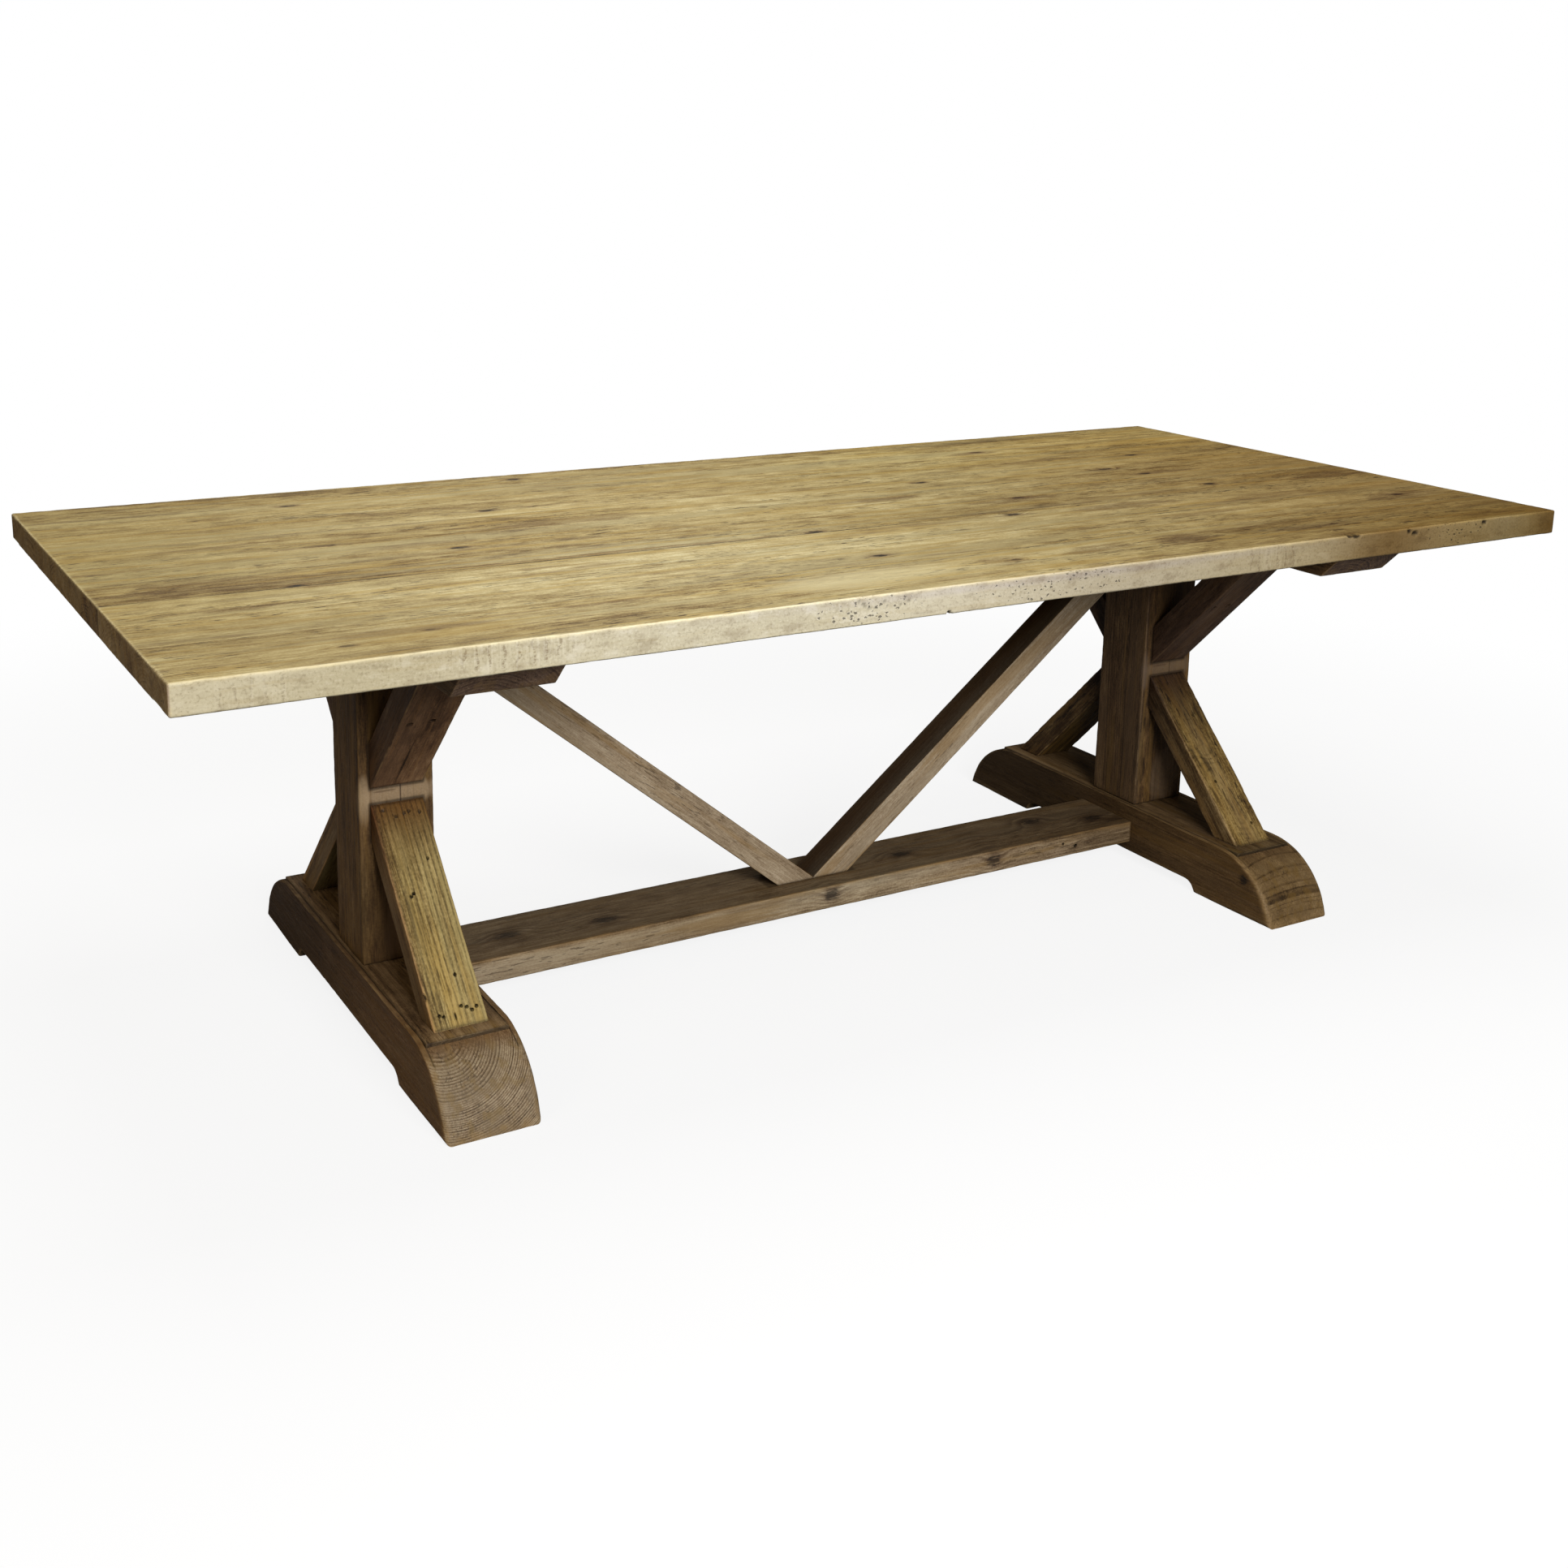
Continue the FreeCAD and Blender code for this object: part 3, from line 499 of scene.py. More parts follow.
def foot_side(along, up):
    """The foot's side as a patch between four edges, each blended with its opposite and the corners taken
    off: the underside with its coves, the straight top, and a toe arc at each end. Gives y and z."""
    low_y = FOOT_LENGTH * (along - 0.5)
    in_cove = np.clip(np.abs(low_y) - cove_end, 0.0, pad_inner - cove_end)
    low_z = FOOT_RELIEF - COVE_RADIUS + np.sqrt(COVE_RADIUS ** 2 - in_cove ** 2)
    low_z = np.where(np.abs(low_y) >= pad_inner - 1e-6, 0.0, low_z)
    top_y = 2 * toe_start * (along - 0.5)
    angle = toe_low_angle + (math.pi / 2 - toe_low_angle) * up
    arc_y = toe_start + TOE_RADIUS * np.cos(angle)
    arc_z = FOOT_HEIGHT - TOE_RADIUS + TOE_RADIUS * np.sin(angle)
    y = (1 - up) * low_y + up * top_y + (2 * along - 1) * arc_y
    y -= (2 * along - 1) * ((1 - up) * FOOT_LENGTH / 2 + up * toe_start)
    return y, (1 - up) * low_z + arc_z


def make_foot(side, finish, seed):
    """A foot from its patch, carried across its width, with the recess for the plate sunk in its top."""
    cove_marks = np.linspace(cove_end, pad_inner, 5)
    low_marks = np.concatenate([-cove_marks, cove_marks]) + FOOT_LENGTH / 2
    wall = np.array([-RECESS_WALL, RECESS_WALL])
    edges = np.concatenate([-recess_half_width + wall, recess_half_width + wall]) + FOOT_WIDTH / 2
    middle = TRESTLE_X[side]

    def place(block):
        y, z = foot_side(block[:, 0] / FOOT_LENGTH, block[:, 2] / TOE_ARC)
        return np.stack([middle + block[:, 1] - FOOT_WIDTH / 2, y, z], axis=1)

    def radii(flat):
        toe = ease(np.abs(flat[:, 0] / FOOT_LENGTH - 0.5), 0.30, 0.5)
        return np.repeat(FOOT_ARRIS + TOE_ARRIS * toe[:, None], 3, axis=1)

    def shape(points, flat, depth, marks):
        line = 1.0 - ease(np.abs(np.abs(points[:, 0] - middle) - recess_half_width), 0.0004, 0.0016)
        marks["grime"] = line * (points[:, 2] > RECESS_LINE_FROM)
        # Painted shade: the foot darker towards its back, though not on the end grain.
        back = BACK_SHADE * ease(points[:, 1], -0.25, 0.25) * (1.0 - marks["end"])
        deepen(marks["grime"], back)

    def cut(points, flat):
        inside = np.abs(flat[:, 1] - FOOT_WIDTH / 2) < recess_half_width
        on_toe = (flat[:, 0] < 1e-6) | (flat[:, 0] > FOOT_LENGTH - 1e-6)
        on_top = (flat[:, 2] > TOE_ARC - 1e-6) | (on_toe & (flat[:, 2] > TOE_ARC * recess_share))
        points[inside & on_top, 2] = FOOT_HEIGHT - PLATE_THICKNESS
        np.maximum(points[:, 2], 0.0, out=points[:, 2])

    timber(f"worn_{side}_foot", "foot_wood", finish, (FOOT_LENGTH, FOOT_WIDTH, TOE_ARC),
           (0.005, 0.004, 0.004), (0.004, 0.008, 0.006), place, radii, seed,
           (low_marks, edges, TOE_ARC * recess_share + wall), smooth_ends=True, nick=0.06, shape=shape,
           cut=cut)


left_foot_pine = aged_pine("left_foot_pine", (0, 1, 0), (-0.835, 0.0, 0.168), LEFT_FOOT_SHADES,
                           LEFT_FOOT_HUES, 3.1, ring=0.0031, ring_show=0.1, ring_end=1.0, ring_edge=0.3,
                           sway=0.002, streak=0.3, mottle=0.5, fleck=0.3, end_tint=LEFT_TOE_GRAIN_AND_LIGHT, bump=0.6)
right_toe_knot = ((0.7135, -0.373, 0.071), (0.02, 0.009, 0.008), 0.006, 0.8)
right_foot_pine = aged_pine("right_foot_pine", (0, 1, 0), (0.800, 0.0, -0.600), RIGHT_FOOT_SHADES,
                            RIGHT_FOOT_HUES, 7.4, ring=0.0115, ring_show=0.1, ring_end=0.65, ring_edge=0.66,
                            sway=0.0012, streak=0.35, mottle=0.5, fleck=0.3, end_tint=RIGHT_TOE_GRAIN_AND_LIGHT,
                            bump=0.6, knots=(right_toe_knot,))
make_foot("left", left_foot_pine, 101)
make_foot("right", right_foot_pine, 151)

# The foot plates: thin boards of the same old pine let into the feet, flush with their tops. Each is
# tenoned through by the post and carries the two lower braces, and dirt has settled in the joint round it.
PLATE_ARRIS = 0.0012
RIM_GRIME = 0.8
RIM_WIDTH = 0.004
PLATE_WAX = {"left": (1.06, 1.10, 1.22), "right": (0.96, 1.0, 1.06)}
PLATE_LIP_LIGHT = {"left": (1.65, 1.75, 1.8), "right": (1.2, 1.28, 1.3)}


def grimy_rim(points, flat, depth, marks):
    """Darkens a band along the plate's arrises."""
    gap = np.minimum(np.minimum(flat[:, 0], 2 * PLATE_HALF_LENGTH - flat[:, 0]),
                     np.minimum(flat[:, 1], PLATE_WIDTH - flat[:, 1]))
    marks["grime"] = RIM_GRIME * (1.0 - ease(gap, 0.0, RIM_WIDTH))
    marks["wear"] *= 0.3


for index, side in enumerate(("left", "right")):
    # Paler at the near end: partly the lip's own end grain, partly painted light on the lit lip against the
    # shaded top.
    lit_end = ((TRESTLE_X[side], -PLATE_HALF_LENGTH, FOOT_HEIGHT), (0.3, 0.03, 0.1), PLATE_LIP_LIGHT[side])
    waxed = ((TRESTLE_X[side], 0.0, FOOT_HEIGHT), (4.0, 4.0, 4.0), PLATE_WAX[side])
    plate_pine = aged_pine(f"{side}_plate_pine", (0, 1, 0), (TRESTLE_X[side] + 0.02, 0.0, 0.03),
                           RIGHT_FOOT_SHADES, RIGHT_FOOT_HUES, 11.0 + index, ring=0.006, ring_show=0.35,
                           tone=0.1, streak=0.3, mottle=0.9, veils=(lit_end, waxed))
    corner = np.array([TRESTLE_X[side] - PLATE_WIDTH / 2, -PLATE_HALF_LENGTH,
                       FOOT_HEIGHT - PLATE_THICKNESS])
    timber(f"worn_{side}_foot_plate", "foot_wood", plate_pine,
           (2 * PLATE_HALF_LENGTH, PLATE_WIDTH, PLATE_THICKNESS), (0.006, 0.004, 0.004),
           (0.0015, 0.0015, 0.0015), lambda block: corner + block[:, [1, 0, 2]], PLATE_ARRIS,
           201 + 10 * index, shape=grimy_rim)

# The posts: one square upright of old pine in the middle of each trestle, tenoned into the foot below and
# the bearer above. Their faces are planed and dark with wax, rubbed pale between the braces.
POST_WIDTH = 0.120
POST_DEPTH = 0.122
BEARER_UNDERSIDE = 0.666
BRACE_WIDTH = 0.085
LOWER_TOP = 0.373
UPPER_BOTTOM = 0.398
TRESTLE_SHADES = ((46, 31, 17), (70, 50, 29), (96, 71, 42), (118, 91, 55), (146, 117, 76))
TRESTLE_HUES = ((100, 77, 50), (116, 87, 44), (54, 36, 26))
RUBBED = {"left": (162, 139, 109), "right": (108, 89, 68)}
POST_FEET = {"left": (112, 88, 66), "right": (128, 106, 82)}
SIDE_SHADE_TINT = {"left": (1.0, 1.0, 0.96), "right": (1.0, 1.06, 1.32)}
STRIP_DARKENING = {"left": (0.62, 0.64, 0.66), "right": (0.84, 0.9, 0.96)}
BAND_MIDDLE = (LOWER_TOP + UPPER_BOTTOM) / 2
POST_ARRIS = 0.0028
LOWER_BUTT, UPPER_BUTT = 0.061, 0.074
JOINT_OUT = 0.1
JOINT_STEPS = (-0.004, -0.002, 0.0, 0.002, 0.004)
CRACK_BROWN = (56, 38, 26)
SCRATCH_BROWN = (72, 50, 34)
swirls = (((0.800, -0.061, 0.215), (0.016, 0.05, 0.030), 0.030, 0.15),)
post_sizes = (BEARER_UNDERSIDE - FOOT_HEIGHT, POST_WIDTH, POST_DEPTH)
for index, side in enumerate(("left", "right")):
    near = -POST_DEPTH / 2
    x = TRESTLE_X[side]
    rubbed = (((x - 0.053, near, BAND_MIDDLE - 0.004), (0.012, 0.012, 0.04), RUBBED[side], 0.7),
              ((x, near, BAND_MIDDLE), (0.075, 0.01, 0.022), RUBBED[side], 0.85),
              ((x + 0.0063, near, BAND_MIDDLE), (0.0014, 0.01, 0.03), CRACK_BROWN, 0.85),
              ((x - 0.02, near, BAND_MIDDLE + 0.006), (0.02, 0.01, 0.0018), SCRATCH_BROWN, 0.6),
              ((x + 0.012, near, 0.160), (0.036, 0.02, 0.06), POST_FEET[side], 0.7))
    # The near face darker in a strip along its left arris, low down.
    darker_strip = ((x - POST_WIDTH / 2, near, 0.22), (0.02, 0.012, 0.1), STRIP_DARKENING[side])
    # Painted shade: a tint on the post's left side, which faces away from the light, much bluer on the
    # right post.
    shaded_side = ((x - POST_WIDTH / 2, 0.0, 0.4), (0.01, 4.0, 4.0), SIDE_SHADE_TINT[side])
    post_pine = aged_pine(f"{side}_post_pine", (0, 0, 1), (x + 0.015, 0.30 - 0.6 * index, 0.0),
                          TRESTLE_SHADES, TRESTLE_HUES, 21.0 + index, ring=0.006,
                          ring_show=0.25 + 0.1 * index, streak=0.35, mottle=0.8, fleck=0.4,
                          worn=(102, 78, 47), stains=rubbed, knots=swirls if index else (),
                          veils=(darker_strip, shaded_side))
    corner = np.array([x - POST_WIDTH / 2, -POST_DEPTH / 2, FOOT_HEIGHT])
    half = np.array([BRACE_WIDTH / 2, POST_DEPTH / 2 + JOINT_OUT, 0.0])
    middle = np.array([x, 0.0, 0.0])
    joints = [(middle - half + (0, 0, low), middle + half + (0, 0, high))
              for low, high in ((LOWER_TOP - LOWER_BUTT, LOWER_TOP),
                                (UPPER_BOTTOM, UPPER_BOTTOM + UPPER_BUTT))]
    edge_lines = [z - FOOT_HEIGHT + step for z in (LOWER_TOP, UPPER_BOTTOM) for step in JOINT_STEPS]
    side_lines = [POST_WIDTH / 2 + way * (BRACE_WIDTH / 2 + step) for way in (-1, 1)
                  for step in JOINT_STEPS[1:]]
    timber(f"worn_{side}_post", "trestle_wood", post_pine, post_sizes, (0.006, 0.005, 0.005),
           (0.003, 0.004, 0.004), lambda block: corner + block[:, [1, 2, 0]], POST_ARRIS, 301 + 10 * index,
           (edge_lines, side_lines, ()), dirt=0.006, joints=joints)

# The lower braces: short sawn timbers from the posts' faces out and down to the foot plates, their ends cut
# to the post and the plate, dowelled and screwed from inside. Their upper faces still show the saw.
LOWER_DEPTH = 0.043
LOWER_REACH = 0.260
BRACE_ARRIS = 0.0018
LOWER_SHADES = {"left": ((82, 63, 34), (130, 107, 61), (172, 150, 96), (196, 174, 119), (214, 195, 148)),
                "right": ((76, 55, 28), (122, 97, 52), (162, 136, 82), (185, 158, 103), (202, 178, 129))}
brace_places = (("left", "front", -1), ("left", "back", 1), ("right", "front", -1), ("right", "back", 1))
lower_drop = LOWER_TOP - FOOT_HEIGHT
lower_slant = math.hypot(LOWER_REACH, lower_drop)
lower_seat = LOWER_DEPTH * lower_slant / lower_drop
lower_butt = LOWER_DEPTH * lower_slant / LOWER_REACH


def slanted(first, last, block, sizes):
    """A slanted timber's profile: a point's depth picks a place on the line of each end, and its length
    carries it straight from one to the other."""
    depth = block[:, 2] / sizes[2]
    start = np.stack([np.interp(depth, first[0], first[1]), np.interp(depth, first[0], first[2])], axis=1)
    stop = np.stack([np.interp(depth, last[0], last[1]), np.interp(depth, last[0], last[2])], axis=1)
    return start + (stop - start) * (block[:, :1] / sizes[0])


def make_brace(name, slot, finish, side, face, first, last, sizes, step, seed, **details):
    """A trestle brace: its slanted profile in y and z, carried across its width."""

    def place(block):
        profile = slanted(first, last, block, sizes)
        return np.stack([TRESTLE_X[side] + block[:, 1] - sizes[1] / 2, face * profile[:, 0], profile[:, 1]],
                        axis=1)

    timber(name, slot, finish, sizes, (step, step, step), (0.002, 0.002, 0.002), place, BRACE_ARRIS, seed,
           dirt=0.008, **details)


lower_first = ((0.0, 1.0), (POST_DEPTH / 2, POST_DEPTH / 2), (LOWER_TOP - lower_butt, LOWER_TOP))
lower_last = ((0.0, 1.0), (POST_DEPTH / 2 + LOWER_REACH - lower_seat, POST_DEPTH / 2 + LOWER_REACH),
              (FOOT_HEIGHT, FOOT_HEIGHT))
lower_sizes = (lower_slant, BRACE_WIDTH, LOWER_DEPTH)
FURROWS = 10
FURROW_PITCH = 0.0083
FURROW_HALF = 0.0018
FURROW_DEPTH = 0.0008
FURROW_GRIME = 0.68
FLANK_SHADE = 0.58
FLANK_TOP = 0.039
SAW_PITCH = 0.013
SAW_DEPTH = 0.0006
TORN_DEPTH = 0.0008
left_chip = ((-0.830, -0.282, 0.150), (0.005, 0.007, 0.007), 0.004)
left_slot = ((-0.7911, -0.3075, 0.1236), (0.0016, 0.007, 0.007), 0.004)
furrow_middles = BRACE_WIDTH / 2 + FURROW_PITCH * (np.arange(FURROWS) - (FURROWS - 1) / 2)
furrow_lines = (furrow_middles[:, None] + FURROW_HALF * np.array([-1.0, -0.5, 0.0, 0.5, 1.0])).ravel()


def ribbed_face(points, flat, depth, marks):
    """Thin furrows along the brace's upper face, dotted with dirt and rubbed away in places, a slot in one
    of them near the lower end, and a chip out of one arris. The other sides get painted shade."""
    on_face = flat[:, 2] > LOWER_DEPTH - 1e-6
    away = np.abs(flat[:, 1:2] - furrow_middles).min(axis=1)
    furrow = on_face * np.clip(1.7 * (1.0 - away / FURROW_HALF), 0.0, 1.0)
    unworn = 0.6 + 0.4 * ease(ripple(points, 0.12, 77), -0.9, 0.1)
    depth += FURROW_DEPTH * furrow * (0.4 + 0.6 * unworn)
    dots = 0.5 + 0.5 * ease(ripple(points, 0.009, 78), -0.3, 0.3)
    # Dirt dotted in the furrows, and painted shade over the brace's sides and underside.
    dirty = np.maximum(FURROW_GRIME * furrow * dots * unworn, FLANK_SHADE * (flat[:, 2] < FLANK_TOP))
    deepen(marks["grime"], dirty)
    gouges(points, depth, marks, (left_chip, left_slot))


def sawn_face(points, flat, depth, marks):
    """Shallow saw marks across the brace's upper face, dark with dirt, and painted shade over its other
    sides.
    """
    on_face = ease(flat[:, 2], LOWER_DEPTH - 0.004, LOWER_DEPTH - 0.001)
    kerf = np.sin(2 * math.pi * flat[:, 0] / SAW_PITCH + 5.0 * ripple(points, 0.06, 79))
    cut = on_face * (0.5 + 0.5 * kerf) ** 4 * ease(ripple(points, 0.07, 80), 0.0, 0.7)
    torn = on_face * ease(ripple(points * (1.0, 0.12, 0.12), 0.011, 81), 0.25, 0.8)
    torn *= ease(ripple(points, 0.09, 82), -0.4, 0.4)
    depth += SAW_DEPTH * cut + TORN_DEPTH * torn
    # Dirt in the saw marks, and painted shade over the brace's sides and underside.
    deepen(marks["grime"], np.maximum(0.35 * cut + 0.6 * torn, 0.42 * (1.0 - on_face)))


def nail_holes(nails, radius, deep, dark):
    """Holes in a brace's outer face, from millimetres across from its middle and along from its post."""
    return [(2, 1, along / 1000, BRACE_WIDTH / 2 + across / 1000, radius, deep, dark)
            for across, along in nails]


NAIL_RADIUS = 0.0027
NAIL_DEPTH = 0.006
NAIL_DARK = 0.95
left_nails = ((-28, 346), (-22, 349), (8, 338), (16, 341), (23, 347), (31, 343), (14, 20), (6, 22),
              (-25, 13), (30, 24), (-8, 26), (-19, 158), (-15, 154), (22, 102), (12, 290))
right_nails = ((12, 96), (-14, 236), (20, 330))
# Painted shade: the back braces and the right front one toned darker, each brace darker at its upper end
# below the top, and its left flank tinted to its colour in shade.
lower_shade_tones = (0.0, -0.3, -0.25, -0.4)
lower_greens = ((174, 158, 104), (186, 156, 86), (96, 68, 44))
lower_browns = ((136, 112, 74), (150, 116, 58), (58, 40, 26))
lower_flank_shade = {"left": (0.98, 0.84, 1.0), "right": (1.12, 1.11, 1.45)}
lower_end_shade = {"left": (0.09, (0.32, 0.20, 0.12)), "right": (0.13, (0.17, 0.13, 0.15))}
for index, (side, face_name, face) in enumerate(brace_places):
    heading = (0.0, face * LOWER_REACH, -lower_drop)
    pith = Vector((TRESTLE_X[side] + 0.5, face * 0.19, 0.24))
    reach, dimming = lower_end_shade[side]
    shaded_end = ((TRESTLE_X[side], face * POST_DEPTH / 2, LOWER_TOP), (1.0, reach, reach), dimming)
    shaded_flank = ((TRESTLE_X[side] - BRACE_WIDTH / 2, 0.0, 0.2), (0.004, 2.0, 2.0), lower_flank_shade[side])
    brace_pine = aged_pine(f"{side}_{face_name}_lower_pine", heading, pith, LOWER_SHADES[side],
                           lower_greens if side == "left" else lower_browns, 31.0 + index, ring=0.0094,
                           ring_show=0.0, sway=0.003, streak=0.3 if side == "left" else 0.5, mottle=0.6,
                           fleck=0.3 if side == "left" else 0.6, tone=lower_shade_tones[index],
                           worn=(170, 142, 86), veils=(shaded_end, shaded_flank))
    nails = left_nails if side == "left" else right_nails
    holes = nail_holes(nails, NAIL_RADIUS, NAIL_DEPTH, NAIL_DARK)
    make_brace(f"worn_{side}_{face_name}_lower_brace", "brace_wood", brace_pine, side, face, lower_first,
               lower_last, lower_sizes, 0.003 if face < 0 else 0.005, 401 + 10 * index,
               holes=holes if face < 0 else (), lines=((), furrow_lines if side == "left" else (), ()),
               shape=ribbed_face if side == "left" else sawn_face, nick=0.15 if side == "left" else 0.6)

# The bearers: flat timbers across the underside of the top, undercut at their ends. The posts are tenoned
# into them, and a screw goes up through each into every board.
BEARER_WIDTH = 0.150
BEARER_HEIGHT = 0.041
BEARER_HALF = 0.525
BEARER_NIB = 0.005
BORE_RADIUS = 0.0058
BORE_DEPTH = 0.012
BORE_STAGGER = 0.055
BORE_DARK = 0.6
BEARER_ARRIS = 0.0022
UNDERSIDE_SHADE = 0.45
board_middles = (-0.459, -0.3275, -0.2105, -0.0935, 0.0235, 0.1405, 0.2575, 0.3745, 0.459)
bearer_sizes = (2 * BEARER_HALF, BEARER_WIDTH, BEARER_HEIGHT)
for index, (side, sign) in enumerate((("left", -1), ("right", 1))):
    bearer_pine = aged_pine(f"{side}_bearer_pine", (0, 1, 0), (TRESTLE_X[side] - 0.03, 0.0, 0.60),
                            TRESTLE_SHADES, TRESTLE_HUES, 41.0 + index, ring=0.0055, ring_show=0.3,
                            streak=0.4, mottle=0.6, end_tint=(0.89, 0.97, 1.6))
    bores = []
    for place_index, y in enumerate(board_middles):
        stagger = sign * BORE_STAGGER if place_index % 2 else -sign * BORE_STAGGER
        along = BEARER_HALF * (1.0 + y / (BEARER_HALF - BEARER_HEIGHT + BEARER_NIB))
        bores.append((2, 0, along, BEARER_WIDTH / 2 + stagger, BORE_RADIUS, BORE_DEPTH, BORE_DARK))

    def undercut(block):
        """Splays the bearer's ends: each layer is shorter by as much as it lies below the square nib."""
        half = BEARER_HALF - np.clip(BEARER_HEIGHT - BEARER_NIB - block[:, 2], 0.0, None)
        y = (block[:, 0] / BEARER_HALF - 1.0) * half
        return np.stack([TRESTLE_X[side] + block[:, 1] - BEARER_WIDTH / 2, y,
                         BEARER_UNDERSIDE + block[:, 2]], axis=1)

    def shaded_underside(points, flat, depth, marks):
        """Darkens the underside with painted shade."""
        deepen(marks["grime"], UNDERSIDE_SHADE * (1.0 - ease(flat[:, 2], 0.0005, 0.003)))

    timber(f"worn_{side}_bearer", "trestle_wood", bearer_pine, bearer_sizes, (0.008, 0.006, 0.005),
           (0.003, 0.003, 0.003), undercut, BEARER_ARRIS, 501 + 10 * index,
           ((), (), (BEARER_HEIGHT - BEARER_NIB,)), holes=bores, shape=shaded_underside)

# The upper braces: heavier timbers from the posts' faces out and up to the bearers, of redder wood,
# dowelled to the post and screwed from inside the bearer. Two old nail holes show in each front one.
UPPER_DEPTH = 0.052
UPPER_REACH = 0.264
UPPER_SHADES = ((56, 38, 25), (86, 62, 42), (114, 86, 60), (136, 106, 76), (160, 130, 96))
UPPER_HUES = ((112, 86, 64), (126, 92, 56), (62, 40, 34))
upper_rise = BEARER_UNDERSIDE - UPPER_BOTTOM
upper_slant = math.hypot(UPPER_REACH, upper_rise)
upper_seat = UPPER_DEPTH * upper_slant / upper_rise
upper_butt = UPPER_DEPTH * upper_slant / UPPER_REACH
upper_first = ((0.0, 1.0), (POST_DEPTH / 2, POST_DEPTH / 2), (UPPER_BOTTOM + upper_butt, UPPER_BOTTOM))
upper_last = ((0.0, 1.0), (POST_DEPTH / 2 + UPPER_REACH - upper_seat, POST_DEPTH / 2 + UPPER_REACH),
              (BEARER_UNDERSIDE, BEARER_UNDERSIDE))
upper_sizes = (upper_slant, BRACE_WIDTH, UPPER_DEPTH)
upper_nails = ((-26, 198), (8, 200))
UPPER_NAIL_RADIUS = 0.0052
UPPER_NAIL_DEPTH = 0.007
UPPER_FLANK_SHADE = 0.5
upper_shade = {"left": (1.08, 1.05, 1.06), "right": (0.36, 0.35, 0.41)}
crack = ((-0.792, -0.112, 0.449), (0.0022, 0.06, 0.06), (26, 18, 14), 0.95)
upper_holes = nail_holes(upper_nails, UPPER_NAIL_RADIUS, UPPER_NAIL_DEPTH, 1.0)


def shaded_flanks(points, flat, depth, marks):
    """Painted shade darkening the brace's two sides."""
    inside = np.minimum(flat[:, 1], BRACE_WIDTH - flat[:, 1])
    deepen(marks["grime"], UPPER_FLANK_SHADE * (1.0 - ease(inside, 0.0005, 0.003)))


for index, (side, face_name, face) in enumerate(brace_places):
    heading = (0.0, face * UPPER_REACH, upper_rise)
    pith = Vector((TRESTLE_X[side] + 0.05, face * 0.16, 0.60))
    # Painted shade: the right braces much darker, in the shadow of the top, the left ones a little lighter.
    shaded = ((TRESTLE_X[side], 0.0, 0.55), (0.5, 0.5, 0.5), upper_shade[side])
    brace_pine = aged_pine(f"{side}_{face_name}_upper_pine", heading, pith, UPPER_SHADES, UPPER_HUES,
                           51.0 + index, ring=0.006, ring_show=0.15, streak=0.1, mottle=1.3, fleck=0.35,
                           stains=(crack,) if side == "left" and face < 0 else (), veils=(shaded,))
    make_brace(f"worn_{side}_{face_name}_upper_brace", "trestle_wood", brace_pine, side, face, upper_first,
               upper_last, upper_sizes, 0.003 if face < 0 else 0.005, 601 + 10 * index,
               holes=upper_holes if face < 0 else (), shape=shaded_flanks if side == "left" else None)

# The stretcher: a wide flat board low between the feet, tenoned into both. It is greyer pine with round
# knots, and its arrises are worn by feet.
STRETCHER_HALF = 0.7135
STRETCHER_WIDTH = 0.146
STRETCHER_BOTTOM = 0.040
STRETCHER_THICKNESS = 0.043
STRETCHER_ARRIS = 0.003
STRETCHER_SHADES = ((76, 58, 40), (112, 92, 67), (146, 124, 96), (172, 151, 121), (196, 177, 148))
STRETCHER_HUES = ((160, 144, 120), (150, 122, 80), (78, 56, 42))
edge_knots = ((0.013, -0.073, 0.066), (0.375, -0.073, 0.064))
top_knots = ((-0.581, -0.001, 0.083), (-0.410, -0.019, 0.083), (0.534, 0.018, 0.083),
             (0.654, -0.023, 0.083), (0.209, -0.005, 0.083))
stretcher_knots = [(place, (0.014, 0.05, 0.010), 0.012, 0.7) for place in edge_knots]
stretcher_knots += [(place, (0.020, 0.011, 0.05), 0.012, 0.8) for place in top_knots]
# Painted shade over the upper face, under the top; the near face darker at its left, lighter in the middle
# and darker at its right end.
stretcher_shading = (((0.0, 0.0, 0.084), (4.0, 0.5, 0.006), (0.87, 0.80, 0.68)),
                   ((-0.36, -0.073, 0.06), (0.28, 0.03, 0.1), (0.86, 0.84, 0.79)),
                   ((0.05, -0.073, 0.06), (0.20, 0.03, 0.1), (1.10, 1.15, 1.18)),
                   ((0.70, -0.073, 0.05), (0.14, 0.1, 0.1), (0.58, 0.55, 0.50)))
stretcher_pine = aged_pine("stretcher_pine", (1, 0, 0), (0.0, 0.03, -0.05), STRETCHER_SHADES,
                           STRETCHER_HUES, 61.0, ring=0.006, ring_show=0.3, streak=0.4, mottle=0.7,
                           fleck=0.4, tone=0.05, knots=stretcher_knots, veils=stretcher_shading)
stretcher_sizes = (2 * STRETCHER_HALF, STRETCHER_WIDTH, STRETCHER_THICKNESS)
stretcher_corner = np.array([-STRETCHER_HALF, -STRETCHER_WIDTH / 2, STRETCHER_BOTTOM])
STAY_BORE = (0.0364, 0.014)
stretcher_holes = [(2, 0, STRETCHER_HALF + side * STAY_BORE[0], STRETCHER_WIDTH / 2 + row * STAY_BORE[1],
                    BORE_RADIUS, BORE_DEPTH, BORE_DARK) for side in (-1, 1) for row in (-1, 1)]
# Millimetres from the stretcher's middle, up from its underside, and each hole's radius.
edge_nails = ((541, 26.5, 3.0), (572, 17.6, 4.0))
stretcher_holes += [(1, 0, up / 1000, STRETCHER_HALF + along / 1000, radius / 1000, NAIL_DEPTH, NAIL_DARK)
                    for along, up, radius in edge_nails]


